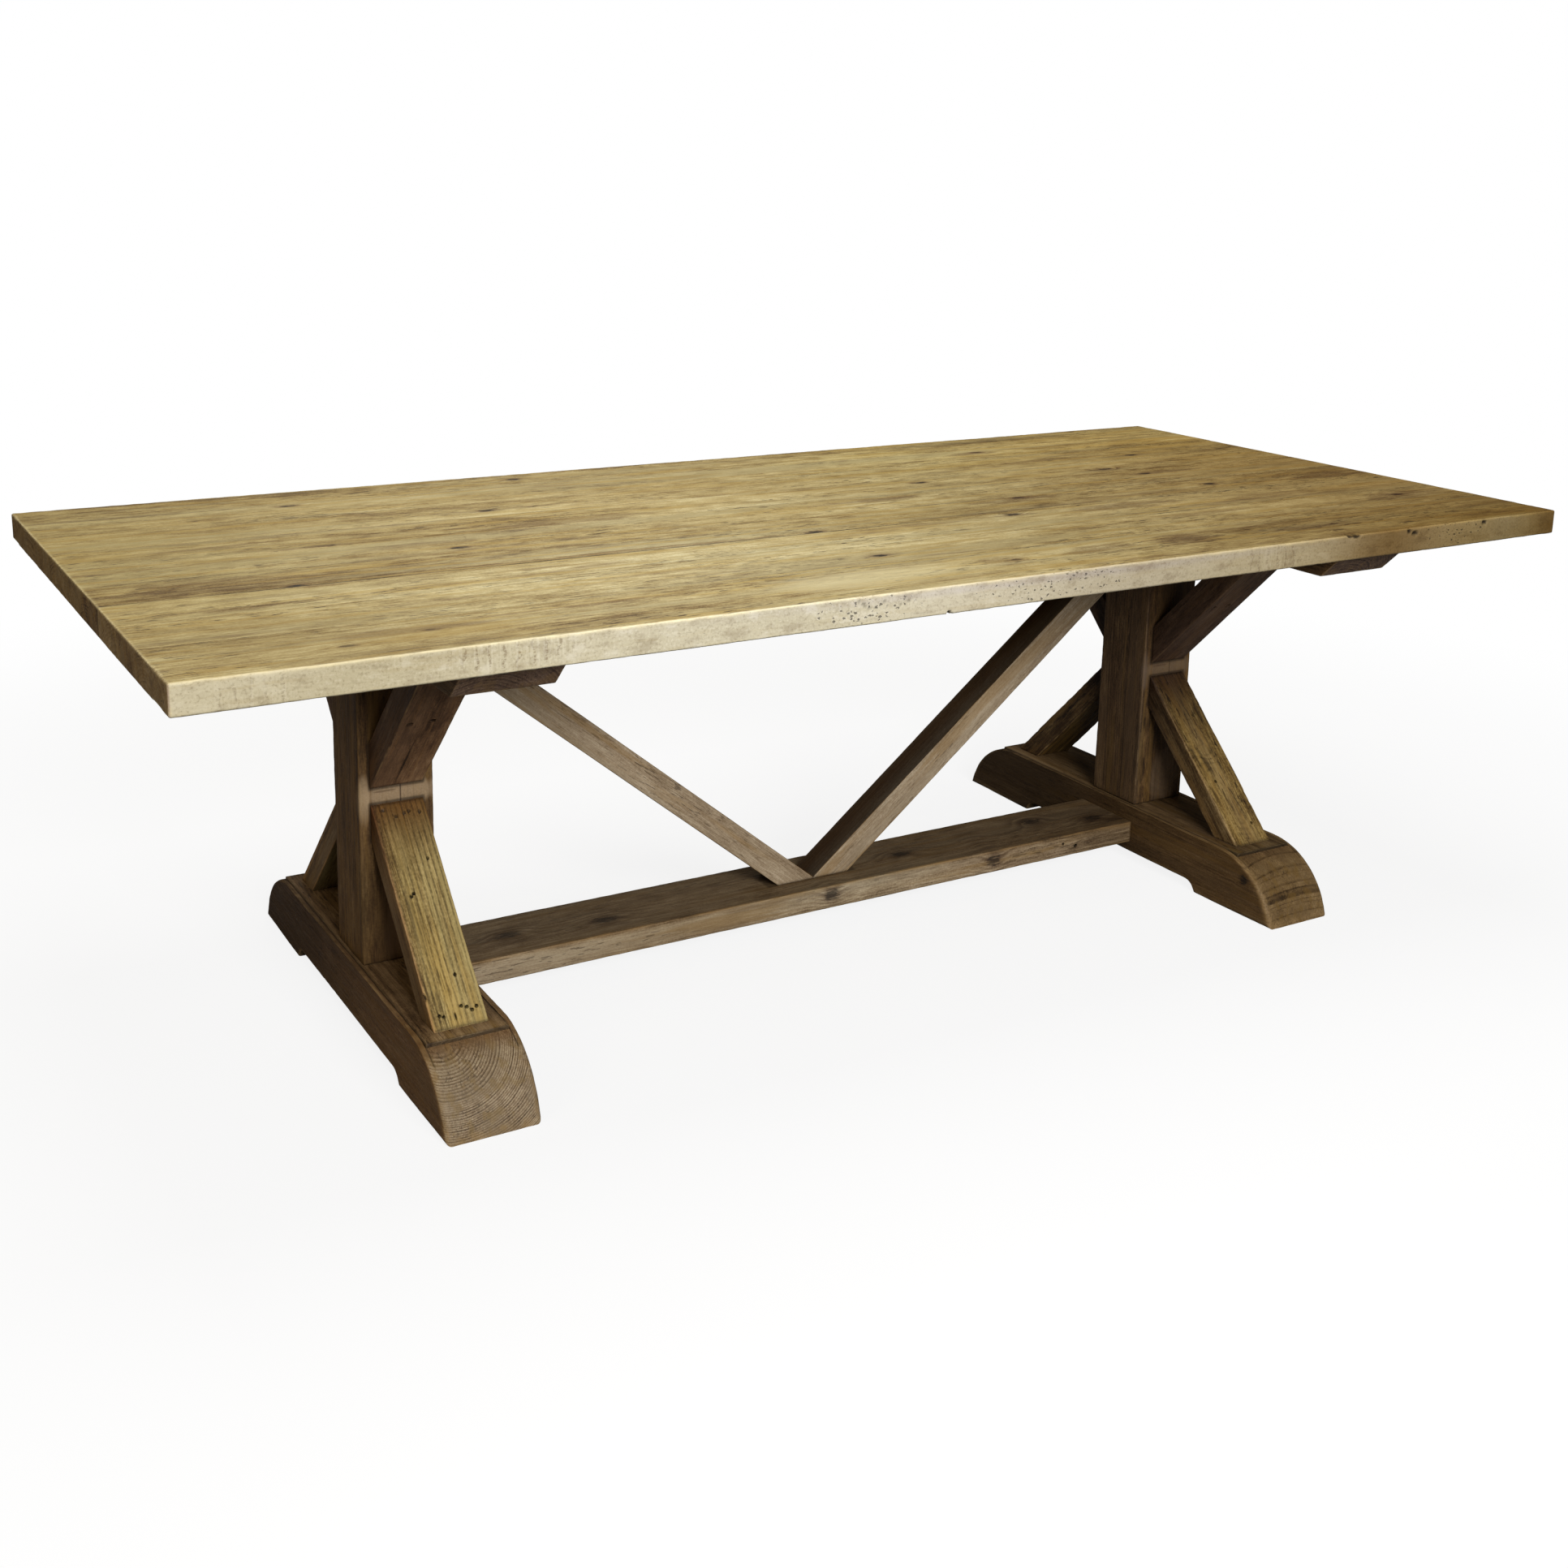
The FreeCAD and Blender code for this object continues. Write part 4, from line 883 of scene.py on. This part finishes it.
def dirt_and_shade_on_top(points, flat, depth, marks, thick=0.62):
    """Dirt and painted shade over the upper face, thinner towards the arrises."""
    high = flat[:, 2].max()
    top = ease(flat[:, 2], 0.6 * high, high) * (flat[:, 2] > high - 1e-6)
    deepen(marks["grime"], thick * top)


SEAT_LOW = np.array([-0.09, -0.03, 0.06])
SEAT_HIGH = np.array([0.09, 0.03, 0.2])
stay_seats = [(SEAT_LOW, SEAT_HIGH)]
timber("worn_stretcher", "stretcher_wood", stretcher_pine, stretcher_sizes, (0.006, 0.005, 0.004),
       (0.002, 0.004, 0.004), lambda block: stretcher_corner + block, STRETCHER_ARRIS, 701,
       holes=stretcher_holes, dirt=0.006, joints=stay_seats, shape=dirt_and_shade_on_top)

# The stretcher braces: two slanted timbers from the middle of the stretcher up to the posts, meeting at
# their toes. Each is cut to the stretcher and the post, dowelled to the post and screwed from below.
STAY_THICKNESS = 0.060
STAY_DEPTH = 0.048
STAY_SHOULDER = 0.006
STAY_TOE = 0.003
STAY_TOE_SHARE = 0.92
STAY_SHOULDER_SHARE = 0.90
STAY_ARRIS = 0.0016
STAY_SHADES = ((74, 58, 41), (110, 92, 69), (144, 125, 100), (170, 152, 126), (194, 178, 153))
stretcher_top = STRETCHER_BOTTOM + STRETCHER_THICKNESS
post_inner = TRESTLE_X["right"] - POST_WIDTH / 2
stay_run = post_inner - STAY_SHOULDER
stay_rise = BEARER_UNDERSIDE - stretcher_top - STAY_TOE
stay_slant = math.hypot(stay_run, stay_rise)
stay_seat = STAY_DEPTH * stay_slant / stay_rise - STAY_TOE * stay_run / stay_rise
stay_butt = (STAY_DEPTH * stay_slant - STAY_SHOULDER * stay_rise) / stay_run
stay_first = ((0.0, STAY_TOE_SHARE, 1.0), (stay_seat, 0.0, 0.0),
              (stretcher_top, stretcher_top, stretcher_top + STAY_TOE))
stay_last = ((0.0, STAY_SHOULDER_SHARE, 1.0), (post_inner, post_inner, stay_run),
             (BEARER_UNDERSIDE - stay_butt, BEARER_UNDERSIDE, BEARER_UNDERSIDE))
stay_sizes = (stay_slant, STAY_THICKNESS, STAY_DEPTH)
# Painted shade: the stays much darker on all but their near faces, and darker at their heads under the top.
shaded_top_and_back = ((0.0, 0.012, 0.35), (3.0, 0.03, 3.0), (0.58, 0.36, 0.15))
for index, (side, sign) in enumerate((("left", -1), ("right", 1))):
    shaded_head = ((sign * post_inner, 0.0, BEARER_UNDERSIDE), (0.16, 4.0, 0.16), (0.62, 0.60, 0.60))
    stay_pine = aged_pine(f"{side}_stay_pine", (sign * stay_run, 0.0, stay_rise), (sign * 0.3, 0.12, 0.35),
                          STAY_SHADES, STRETCHER_HUES, 71.0 + index, ring=0.005, ring_show=0.12,
                          streak=0.24, mottle=0.5, fleck=0.4, tone=0.05 + 0.2 * index,
                          veils=(shaded_top_and_back, shaded_head))

    def stay_place(block):
        profile = slanted(stay_first, stay_last, block, stay_sizes)
        return np.stack([sign * profile[:, 0], block[:, 1] - STAY_THICKNESS / 2, profile[:, 1]], axis=1)

    timber(f"worn_{side}_stretcher_brace", "stretcher_wood", stay_pine, stay_sizes, (0.006, 0.005, 0.005),
           (0.002, 0.0025, 0.0025), stay_place, STAY_ARRIS, 751 + 10 * index,
           ((), (), (STAY_TOE_SHARE * STAY_DEPTH, STAY_SHOULDER_SHARE * STAY_DEPTH)), dirt=0.008,
           shape=lambda *net: dirt_and_shade_on_top(*net, thick=1.0))

# The top: nine boards of old pine laid lengthwise, glued edge to edge over loose tongues and screwed up
# from the bearers. The front one is wider, its edge rough from the saw, and the wax is worn off the rim.
TOP_HALF_LENGTH = 1.230
TOP_HEIGHT = 0.750
TOP_THICKNESS = 0.043
FRONT_EDGE = -0.550
FRONT_BOARD = 0.164
BOARD = 0.117
TOP_SHADES = ((90, 69, 39), (135, 112, 67), (168, 148, 98), (188, 169, 117), (209, 194, 145))
TOP_HUES = ((164, 151, 110), (172, 144, 78), (98, 71, 49))
TOP_SMEAR = (92, 66, 44)
EDGE_SHADES = ((201, 190, 159), (140, 122, 94), (225, 216, 192))
OPEN_SEAM = 3
BOARDS = 9
EDGE_SAW_PITCH = 0.0095
EDGE_SAW_DEPTH = 0.0004
PIT_DEPTH = 0.002
CHIP_DEPTH = 0.004
board_edges = np.concatenate([[FRONT_EDGE], FRONT_EDGE + FRONT_BOARD + BOARD * np.arange(BOARDS)])
board_logs = ((0.03, -0.12, 0.0050), (0.20, -0.10, 0.0042), (-0.10, -0.20, 0.0060), (0.02, -0.09, 0.0048),
              (0.25, -0.05, 0.0044), (-0.02, -0.14, 0.0060), (-0.22, -0.08, 0.0046), (0.01, -0.25, 0.0070),
              (0.03, -0.07, 0.0052))
board_tones = (0.0, 0.05, 0.07, -0.09, 0.0, 0.05, 0.02, -0.03, -0.08)
board_knots = (
    ((-0.871, -0.454), (-0.991, -0.482), (0.081, -0.454), (0.726, -0.505), (0.893, -0.510)),
    ((-0.094, -0.339), (1.085, -0.318)),
    ((0.299, -0.168),),
    ((-0.958, -0.148), (-0.091, -0.146), (0.408, -0.047), (0.837, -0.086)),
    ((-0.658, -0.012), (0.800, 0.052)),
    ((0.332, 0.154), (0.763, 0.125)),
    ((-0.508, 0.244), (0.929, 0.236)),
    ((-0.802, 0.420), (0.646, 0.393)),
    ((-0.35, 0.50),),
)
round_knots = {0: (0.444, -0.454), 4: (-0.274, -0.014)}
# Millimetres along the table and up from the floor, and each gouge's half length.
worm_pits = ((-272, 744), (-266, 739), (-255, 733), (-247, 731), (-262, 736), (-230, 738), (-226, 733),
             (-202, 731), (-188, 736), (-196, 740))
edge_gouges = ((-115, 709, 5), (708, 749, 8), (722, 748, 13), (850, 745, 7), (864, 740, 10), (1040, 744, 8))
kerf_zones = (((-0.80, FRONT_EDGE, 0.735), (0.11, 0.1, 0.03)),
              ((-1.13, FRONT_EDGE, 0.73), (0.06, 0.1, 0.1)),
              ((0.53, FRONT_EDGE, 0.73), (0.07, 0.1, 0.1)))
worm_zones = (((-0.26, FRONT_EDGE, 0.732), (0.12, 0.02, 0.03), 0.46),
              ((0.08, FRONT_EDGE, 0.732), (0.19, 0.02, 0.03), 0.43),
              ((0.96, FRONT_EDGE, 0.735), (0.10, 0.02, 0.03), 0.44),
              ((-0.31, FRONT_EDGE, 0.714), (0.03, 0.02, 0.008), 0.5))
# Each veil's middle and half sizes, and what it multiplies the wood's colour by. Besides old polish they
# are painted light and shade: darker towards the right end and the left end and along the right of the
# near edge, paler and greyer over the left middle as a painted sheen, and a cool band along the top of the
# near edge as a painted reflection.
polish_and_light_veils = (((TOP_HALF_LENGTH, FRONT_EDGE, 0.73), (0.85, 0.22, 1.0), (0.48, 0.38, 0.20)),
                ((TOP_HALF_LENGTH, -0.10, 0.73), (0.70, 0.50, 1.0), (0.63, 0.52, 0.37)),
                ((0.30, -0.10, 0.73), (0.35, 0.50, 1.0), (0.84, 0.84, 0.84)),
                ((-0.50, -0.28, 0.73), (0.45, 0.30, 1.0), (1.17, 1.24, 1.42)),
                ((0.50, 0.42, 0.73), (0.32, 0.25, 1.0), (1.16, 1.20, 1.20)),
                ((1.10, 0.42, 0.73), (0.35, 0.25, 1.0), (1.05, 0.99, 0.80)),
                ((0.20, FRONT_EDGE, 0.73), (0.22, 0.012, 0.2), (0.85, 0.83, 0.82)),
                ((0.10, FRONT_EDGE, 0.742), (0.50, 0.012, 0.007), (0.92, 0.92, 1.05)),
                ((-1.05, -0.42, 0.73), (0.28, 0.16, 1.0), (0.79, 0.77, 0.73)),
                ((0.80, FRONT_EDGE, 0.73), (0.14, 0.012, 0.2), (0.54, 0.44, 0.31)),
                ((1.10, FRONT_EDGE, 0.73), (0.08, 0.012, 0.2), (0.98, 1.05, 1.30)),
                ((TOP_HALF_LENGTH, FRONT_EDGE, 0.73), (0.07, 0.012, 0.2), (0.56, 0.48, 0.38)),
                ((-TOP_HALF_LENGTH, 0.10, 0.73), (0.42, 0.90, 1.0), (0.83, 0.81, 0.71)))
# For each board, its smears' middles, half lengths and widths, and strengths.
board_smears = (
    ((0.255, -0.448, 0.09, 0.028, 0.5), (0.430, -0.452, 0.08, 0.034, 0.6),
     (0.720, -0.470, 0.10, 0.02, 0.45), (-0.90, -0.445, 0.14, 0.016, 0.35),
     (-0.62, -0.425, 0.10, 0.012, 0.4), (0.06, -0.455, 0.05, 0.03, 0.4)),
    ((1.085, -0.325, 0.11, 0.034, 0.6), (0.60, -0.30, 0.14, 0.016, 0.35), (-0.42, -0.295, 0.16, 0.01, 0.3)),
    ((0.54, -0.185, 0.12, 0.028, 0.5), (-1.05, -0.24, 0.12, 0.012, 0.35), (0.86, -0.22, 0.12, 0.02, 0.4)),
    ((1.12, -0.110, 0.14, 0.030, 0.6), (-0.42, -0.143, 0.28, 0.010, 0.55),
     (-1.06, -0.095, 0.17, 0.045, 0.4), (0.39, -0.06, 0.10, 0.022, 0.5)),
    ((0.165, 0.045, 0.09, 0.020, 0.5), (0.88, 0.055, 0.09, 0.014, 0.55), (-0.72, 0.03, 0.12, 0.02, 0.3)),
    ((-0.39, 0.105, 0.14, 0.026, 0.4), (-1.0, 0.14, 0.10, 0.014, 0.3)),
    ((0.75, 0.26, 0.16, 0.014, 0.35),),
    ((0.64, 0.385, 0.07, 0.016, 0.45), (-0.95, 0.36, 0.10, 0.012, 0.3)),
    ((1.09, 0.435, 0.10, 0.014, 0.45), (-1.1, 0.435, 0.13, 0.012, 0.45)),
)
worn_patch = ((-0.19, -0.455, TOP_HEIGHT), (0.17, 0.05, 0.03), (204, 190, 144), 0.6)


def board_rim(flat, width, first, last):
    """The radii of a board: small along its seams, larger along an outer edge and round its ends."""
    outer = np.where(flat[:, 1] > width / 2, last, first)
    return np.stack([np.full(len(flat), 0.004), np.where(outer, 0.004, 0.0007),
                     np.where(outer, 0.0034, 0.0016)], axis=1)


def near_edge(points, flat, depth, marks):
    """Upright saw marks over the near edge, the worm pits and gouges in it, a pale worn rim along its top
    that is also a painted highlight, and painted shade along its lower arris.
    """
    on_edge = 1.0 - ease(flat[:, 1], 0.0008, 0.0032)
    marks["sawn"] = on_edge
    patch = ease(ripple(points * (1.0, 0.0, 0.0), 0.5, 5), -0.1, 0.5)
    teeth = 0.5 + 0.5 * np.sin(2 * math.pi * flat[:, 0] / EDGE_SAW_PITCH + 2.0 * ripple(points, 0.06, 6))
    depth += on_edge * patch * EDGE_SAW_DEPTH * teeth ** 3
    pits = []
    for order, (x, z) in enumerate(worm_pits):
        half_sizes = (0.002 + 0.0012 * (order % 3), 0.004, 0.0028 - 0.0006 * (order % 2))
        pits.append(((x / 1000, FRONT_EDGE, z / 1000), half_sizes, PIT_DEPTH))
    gouges(points, depth, marks, pits, dark=0.45)
    chips = [((x / 1000, FRONT_EDGE + 0.002, z / 1000), (half / 1000, 0.006, 0.0055), CHIP_DEPTH)
             for x, z, half in edge_gouges]
    gouges(points, depth, marks, chips)
    # A pale worn rim along the top arris, which also stands for a painted highlight.
    at_top = ease(flat[:, 2], TOP_THICKNESS - 0.003, TOP_THICKNESS - 0.001)
    deepen(marks["wear"], 0.9 * ((1.0 - ease(flat[:, 1], 0.0015, 0.005)) * at_top))
    # Painted shade along the lower arris.
    shaded_low_rim = on_edge * (1.0 - ease(flat[:, 2], 0.0005, 0.004))
    deepen(marks["grime"], 0.5 * shaded_low_rim)
    marks["wear"] *= 1.0 - shaded_low_rim


for index in range(BOARDS):
    low, high = board_edges[index], board_edges[index + 1]
    width = high - low
    front = index == 0
    pith_across, pith_up, ring = board_logs[index]
    knot_size, knot_dark = ((0.010, 0.004, 0.05), 0.6) if front else ((0.013, 0.006, 0.05), 0.95)
    knots = tuple(((x, y, TOP_HEIGHT), knot_size, 0.010, knot_dark) for x, y in board_knots[index])
    if index in round_knots:
        knots += (((*round_knots[index], TOP_HEIGHT), (0.020, 0.014, 0.05), 0.014, 0.22),)
    smears = [((x, y, TOP_HEIGHT), (along, across, 0.03), TOP_SMEAR, strength)
              for x, y, along, across, strength in board_smears[index]]
    board_pine = aged_pine(f"top_board_{index + 1}_pine", (1, 0, 0),
                           (0.0, (low + high) / 2 + pith_across, TOP_HEIGHT + pith_up), TOP_SHADES,
                           TOP_HUES, 81.0 + 1.37 * index, ring=ring, ring_show=0.28,
                           tone=board_tones[index], knots=knots, streak=0.36, mottle=0.9, fleck=0.65,
                           brief=2.0, worn=(238, 224, 180), rough=0.5, bump=0.4, scored=0.45,
                           end_tint=(0.74, 0.64, 0.67), stains=smears + [worn_patch] * front,
                           sawn=EDGE_SHADES if front else None, kerf_zones=kerf_zones,
                           worm_zones=worm_zones, veils=polish_and_light_veils)
    corner = np.array([-TOP_HALF_LENGTH, low, TOP_HEIGHT - TOP_THICKNESS])
    steps = (0.003, 0.008, 0.0035) if front else (0.009, 0.008, 0.006)
    fine = (0.004, 0.004, 0.0035) if front else (0.004, 0.003, 0.0035)

    def seam_dirt(points, flat, depth, marks):
        """Dirt along the seams beside the neighbouring boards, thickest in the open seam."""
        for seam, away in ((index, flat[:, 1]), (index + 1, width - flat[:, 1])):
            if 0 < seam < BOARDS:
                open_length = 0.6 * (1.0 - ease(points[:, 0], -0.1, 0.2)) if seam == OPEN_SEAM else 0.0
                thick = np.clip(0.25 + 0.5 * ripple(points, 0.3, 900 + seam) + open_length, 0.1, 1.0)
                dirty = 1.0 - ease(away, 0.0005 + 0.0008 * open_length, 0.0022 + 0.002 * open_length)
                deepen(marks["grime"], thick * dirty)
                marks["wear"] *= 0.1 + 0.9 * ease(away, 0.002, 0.005)
        at_top = ease(flat[:, 2], TOP_THICKNESS - 0.005, TOP_THICKNESS - 0.001)
        deepen(marks["wear"], 0.6 * ((1.0 - ease(flat[:, 0], 0.001, 0.005)) * at_top))
        if front:
            near_edge(points, flat, depth, marks)

    timber(f"worn_top_board_{index + 1}", "top_wood", board_pine,
           (2 * TOP_HALF_LENGTH, width, TOP_THICKNESS), steps, fine, lambda block: corner + block,
           lambda flat: board_rim(flat, width, front, index == BOARDS - 1), 801 + 10 * index,
           shape=seam_dirt)

# The fixings: loose tongues between the boards and dowels in the braces, of plain sawn beech, and dark zinc
# screws. All but the heads under the bearers and the stretcher are out of sight.
beech, add = new_finish("joinery_beech")
spot = add("TexCoord").outputs["Object"]
drawn = add("Mapping", {"Vector": spot, "Scale": (30.0, 600.0, 600.0)}).outputs[0]
fibres = add("TexNoise", {"Vector": drawn, "Scale": 1.0, "Detail": 3.0}, noise_dimensions="3D").outputs[0]
ramp = add("ValToRGB", {0: fibres})
stops = ramp.color_ramp.elements
stops[0].position, stops[0].color = 0.3, tint((176, 140, 98))
stops[1].position, stops[1].color = 0.7, tint((214, 182, 138))
relief = add("Bump", {"Strength": 0.3, "Distance": 0.0003, "Height": fibres}).outputs[0]
surface = add("BsdfPrincipled", {"Base Color": ramp.outputs[0], "Roughness": 0.7, "Normal": relief})
add("OutputMaterial", {"Surface": surface.outputs[0]})

zinc, add = new_finish("screw_zinc")
spot = add("TexCoord").outputs["Object"]
blotch = add("TexNoise", {"Vector": spot, "Scale": 900.0, "Detail": 3.0}, noise_dimensions="3D").outputs[0]
ramp = add("ValToRGB", {0: blotch})
stops = ramp.color_ramp.elements
stops[0].position, stops[0].color = 0.3, tint((70, 66, 60))
stops[1].position, stops[1].color = 0.75, tint((128, 124, 116))
wear = add("MapRange", {"Value": blotch, "From Min": 0.3, "From Max": 0.7, "To Min": 0.35,
                        "To Max": 0.6}).outputs[0]
surface = add("BsdfPrincipled", {"Base Color": ramp.outputs[0], "Roughness": wear, "Metallic": 1.0})
add("OutputMaterial", {"Surface": surface.outputs[0]})

for node_name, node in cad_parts.items():
    for kind, finish in (("screws", zinc), ("dowels", beech), ("tongue", beech)):
        if kind in node_name:
            node.data.materials.clear()
            node.data.materials.append(finish)

# The floor: a pale studio floor, white to the camera away from the table, with the table's shadow close
# round it. It is the stage, not a piece of the table.
FLOOR_HALF = 30.0
SHADOW_FROM, SHADOW_TO = 1.3, 3.0
SHADOW_CLEAR = 0.86
FLOOR_GREY = (0.22, 0.22, 0.22, 1.0)
FLOOR_PALE = (0.9, 0.9, 0.9, 1.0)
WHITE = (1.0, 1.0, 1.0, 1.0)
floor_finish, add = new_finish("studio_floor")
spot = add("TexCoord").outputs["Object"]
away = add("VectorMath", {0: spot}, operation="LENGTH").outputs["Value"]
clear = add("MapRange", {"Value": away, "From Min": SHADOW_FROM, "From Max": SHADOW_TO,
                         "To Min": SHADOW_CLEAR, "To Max": 1.0}, interpolation_type="SMOOTHSTEP").outputs[0]
paint = add("BsdfDiffuse", {"Color": FLOOR_GREY})
pale = add("BsdfDiffuse", {"Color": FLOOR_PALE})
glow = add("Emission", {"Color": WHITE, "Strength": 1.0})
shown = add("MixShader", {0: clear, 1: pale.outputs[0], 2: glow.outputs[0]})
seen = add("LightPath").outputs["Is Camera Ray"]
mixed = add("MixShader", {0: seen, 1: paint.outputs[0], 2: shown.outputs[0]})
add("OutputMaterial", {"Surface": mixed.outputs[0]})
floor_mesh = bpy.data.meshes.new("floor")
floor_corners = FLOOR_HALF * np.array([[-1, -1, 0], [1, -1, 0], [1, 1, 0], [-1, 1, 0]], float)
floor_mesh.from_pydata(floor_corners.tolist(), [], [(0, 1, 2, 3)])
floor_mesh.materials.append(floor_finish)
floor = bpy.data.objects.new("floor", floor_mesh)
bpy.context.scene.collection.objects.link(floor)

# The light: a large soft box in front of the table, one above it, weak warm ones at its left and behind it,
# and a dim even fill from all round.
FILL_COLOUR = (1.0, 0.86, 0.68, 1.0)
FILL_STRENGTH = 0.07
world = bpy.data.worlds.new("studio")
bpy.context.scene.world = world
world.use_nodes = True
world.node_tree.nodes.clear()
path = world.node_tree.nodes.new("ShaderNodeLightPath")
fill = world.node_tree.nodes.new("ShaderNodeBackground")
fill.inputs["Color"].default_value = FILL_COLOUR
fill.inputs["Strength"].default_value = FILL_STRENGTH
white = world.node_tree.nodes.new("ShaderNodeBackground")
white.inputs["Color"].default_value = WHITE
white.inputs["Strength"].default_value = 1.0
choice = world.node_tree.nodes.new("ShaderNodeMixShader")
ending = world.node_tree.nodes.new("ShaderNodeOutputWorld")
world.node_tree.links.new(path.outputs["Is Camera Ray"], choice.inputs[0])
world.node_tree.links.new(fill.outputs[0], choice.inputs[1])
world.node_tree.links.new(white.outputs[0], choice.inputs[2])
world.node_tree.links.new(choice.outputs[0], ending.inputs["Surface"])


def soft_box(name, place, target, width, height, power, colour=(1.0, 1.0, 1.0)):
    """A rectangular lamp at a place, turned to face a target."""
    lamp = bpy.data.lights.new(name, "AREA")
    lamp.shape = "RECTANGLE"
    lamp.size = width
    lamp.size_y = height
    lamp.energy = power
    lamp.color = colour
    holder = bpy.data.objects.new(name, lamp)
    holder.location = place
    holder.rotation_euler = (Vector(target) - Vector(place)).to_track_quat("-Z", "Y").to_euler()
    bpy.context.scene.collection.objects.link(holder)


WARM = (1.0, 0.88, 0.72)
soft_box("front_box", (-0.7, -4.4, 2.45), (-0.1, 0.0, 0.4), 2.4, 1.4, 190.0)
soft_box("top_box", (0.0, 0.3, 3.6), (0.0, 0.0, 0.7), 2.6, 2.2, 80.0)
soft_box("left_box", (-4.2, -1.4, 2.4), (-0.6, 0.0, 0.4), 2.0, 1.6, 32.0, WARM)
soft_box("back_box", (0.6, 4.0, 3.0), (0.0, 0.0, 0.4), 3.0, 1.6, 16.0, WARM)

# The camera: where the photograph was taken from, solved from the table's edges, with the shift that its
# framing needs.
FRAME_SIZE = 1932.0
FOCAL = 2256.99
CENTRE_ACROSS = 888.76
CENTRE_DOWN = 688.88
SENSOR = 36.0
CAMERA_PLACE = (-1.679406, -2.623448, 1.366683)
YAW, PITCH, ROLL = math.radians(29.682), math.radians(12.751), math.radians(-0.981)
ahead = np.array([math.sin(YAW) * math.cos(PITCH), math.cos(YAW) * math.cos(PITCH), -math.sin(PITCH)])
level = np.array([math.cos(YAW), -math.sin(YAW), 0.0])
down = np.cross(ahead, level)
right_hand = math.cos(ROLL) * level + math.sin(ROLL) * down
down = math.cos(ROLL) * down - math.sin(ROLL) * level
lens = bpy.data.cameras.new("camera")
lens.sensor_width = SENSOR
lens.lens = FOCAL * SENSOR / FRAME_SIZE
lens.shift_x = 0.5 - CENTRE_ACROSS / FRAME_SIZE
lens.shift_y = CENTRE_DOWN / FRAME_SIZE - 0.5
camera = bpy.data.objects.new("camera", lens)
turn = np.eye(4)
turn[:3, 0], turn[:3, 1], turn[:3, 2] = right_hand, -down, -ahead
turn[:3, 3] = CAMERA_PLACE
camera.matrix_world = Matrix(turn.tolist())
bpy.context.scene.collection.objects.link(camera)
bpy.context.scene.camera = camera
bpy.context.scene.view_settings.view_transform = "Standard"
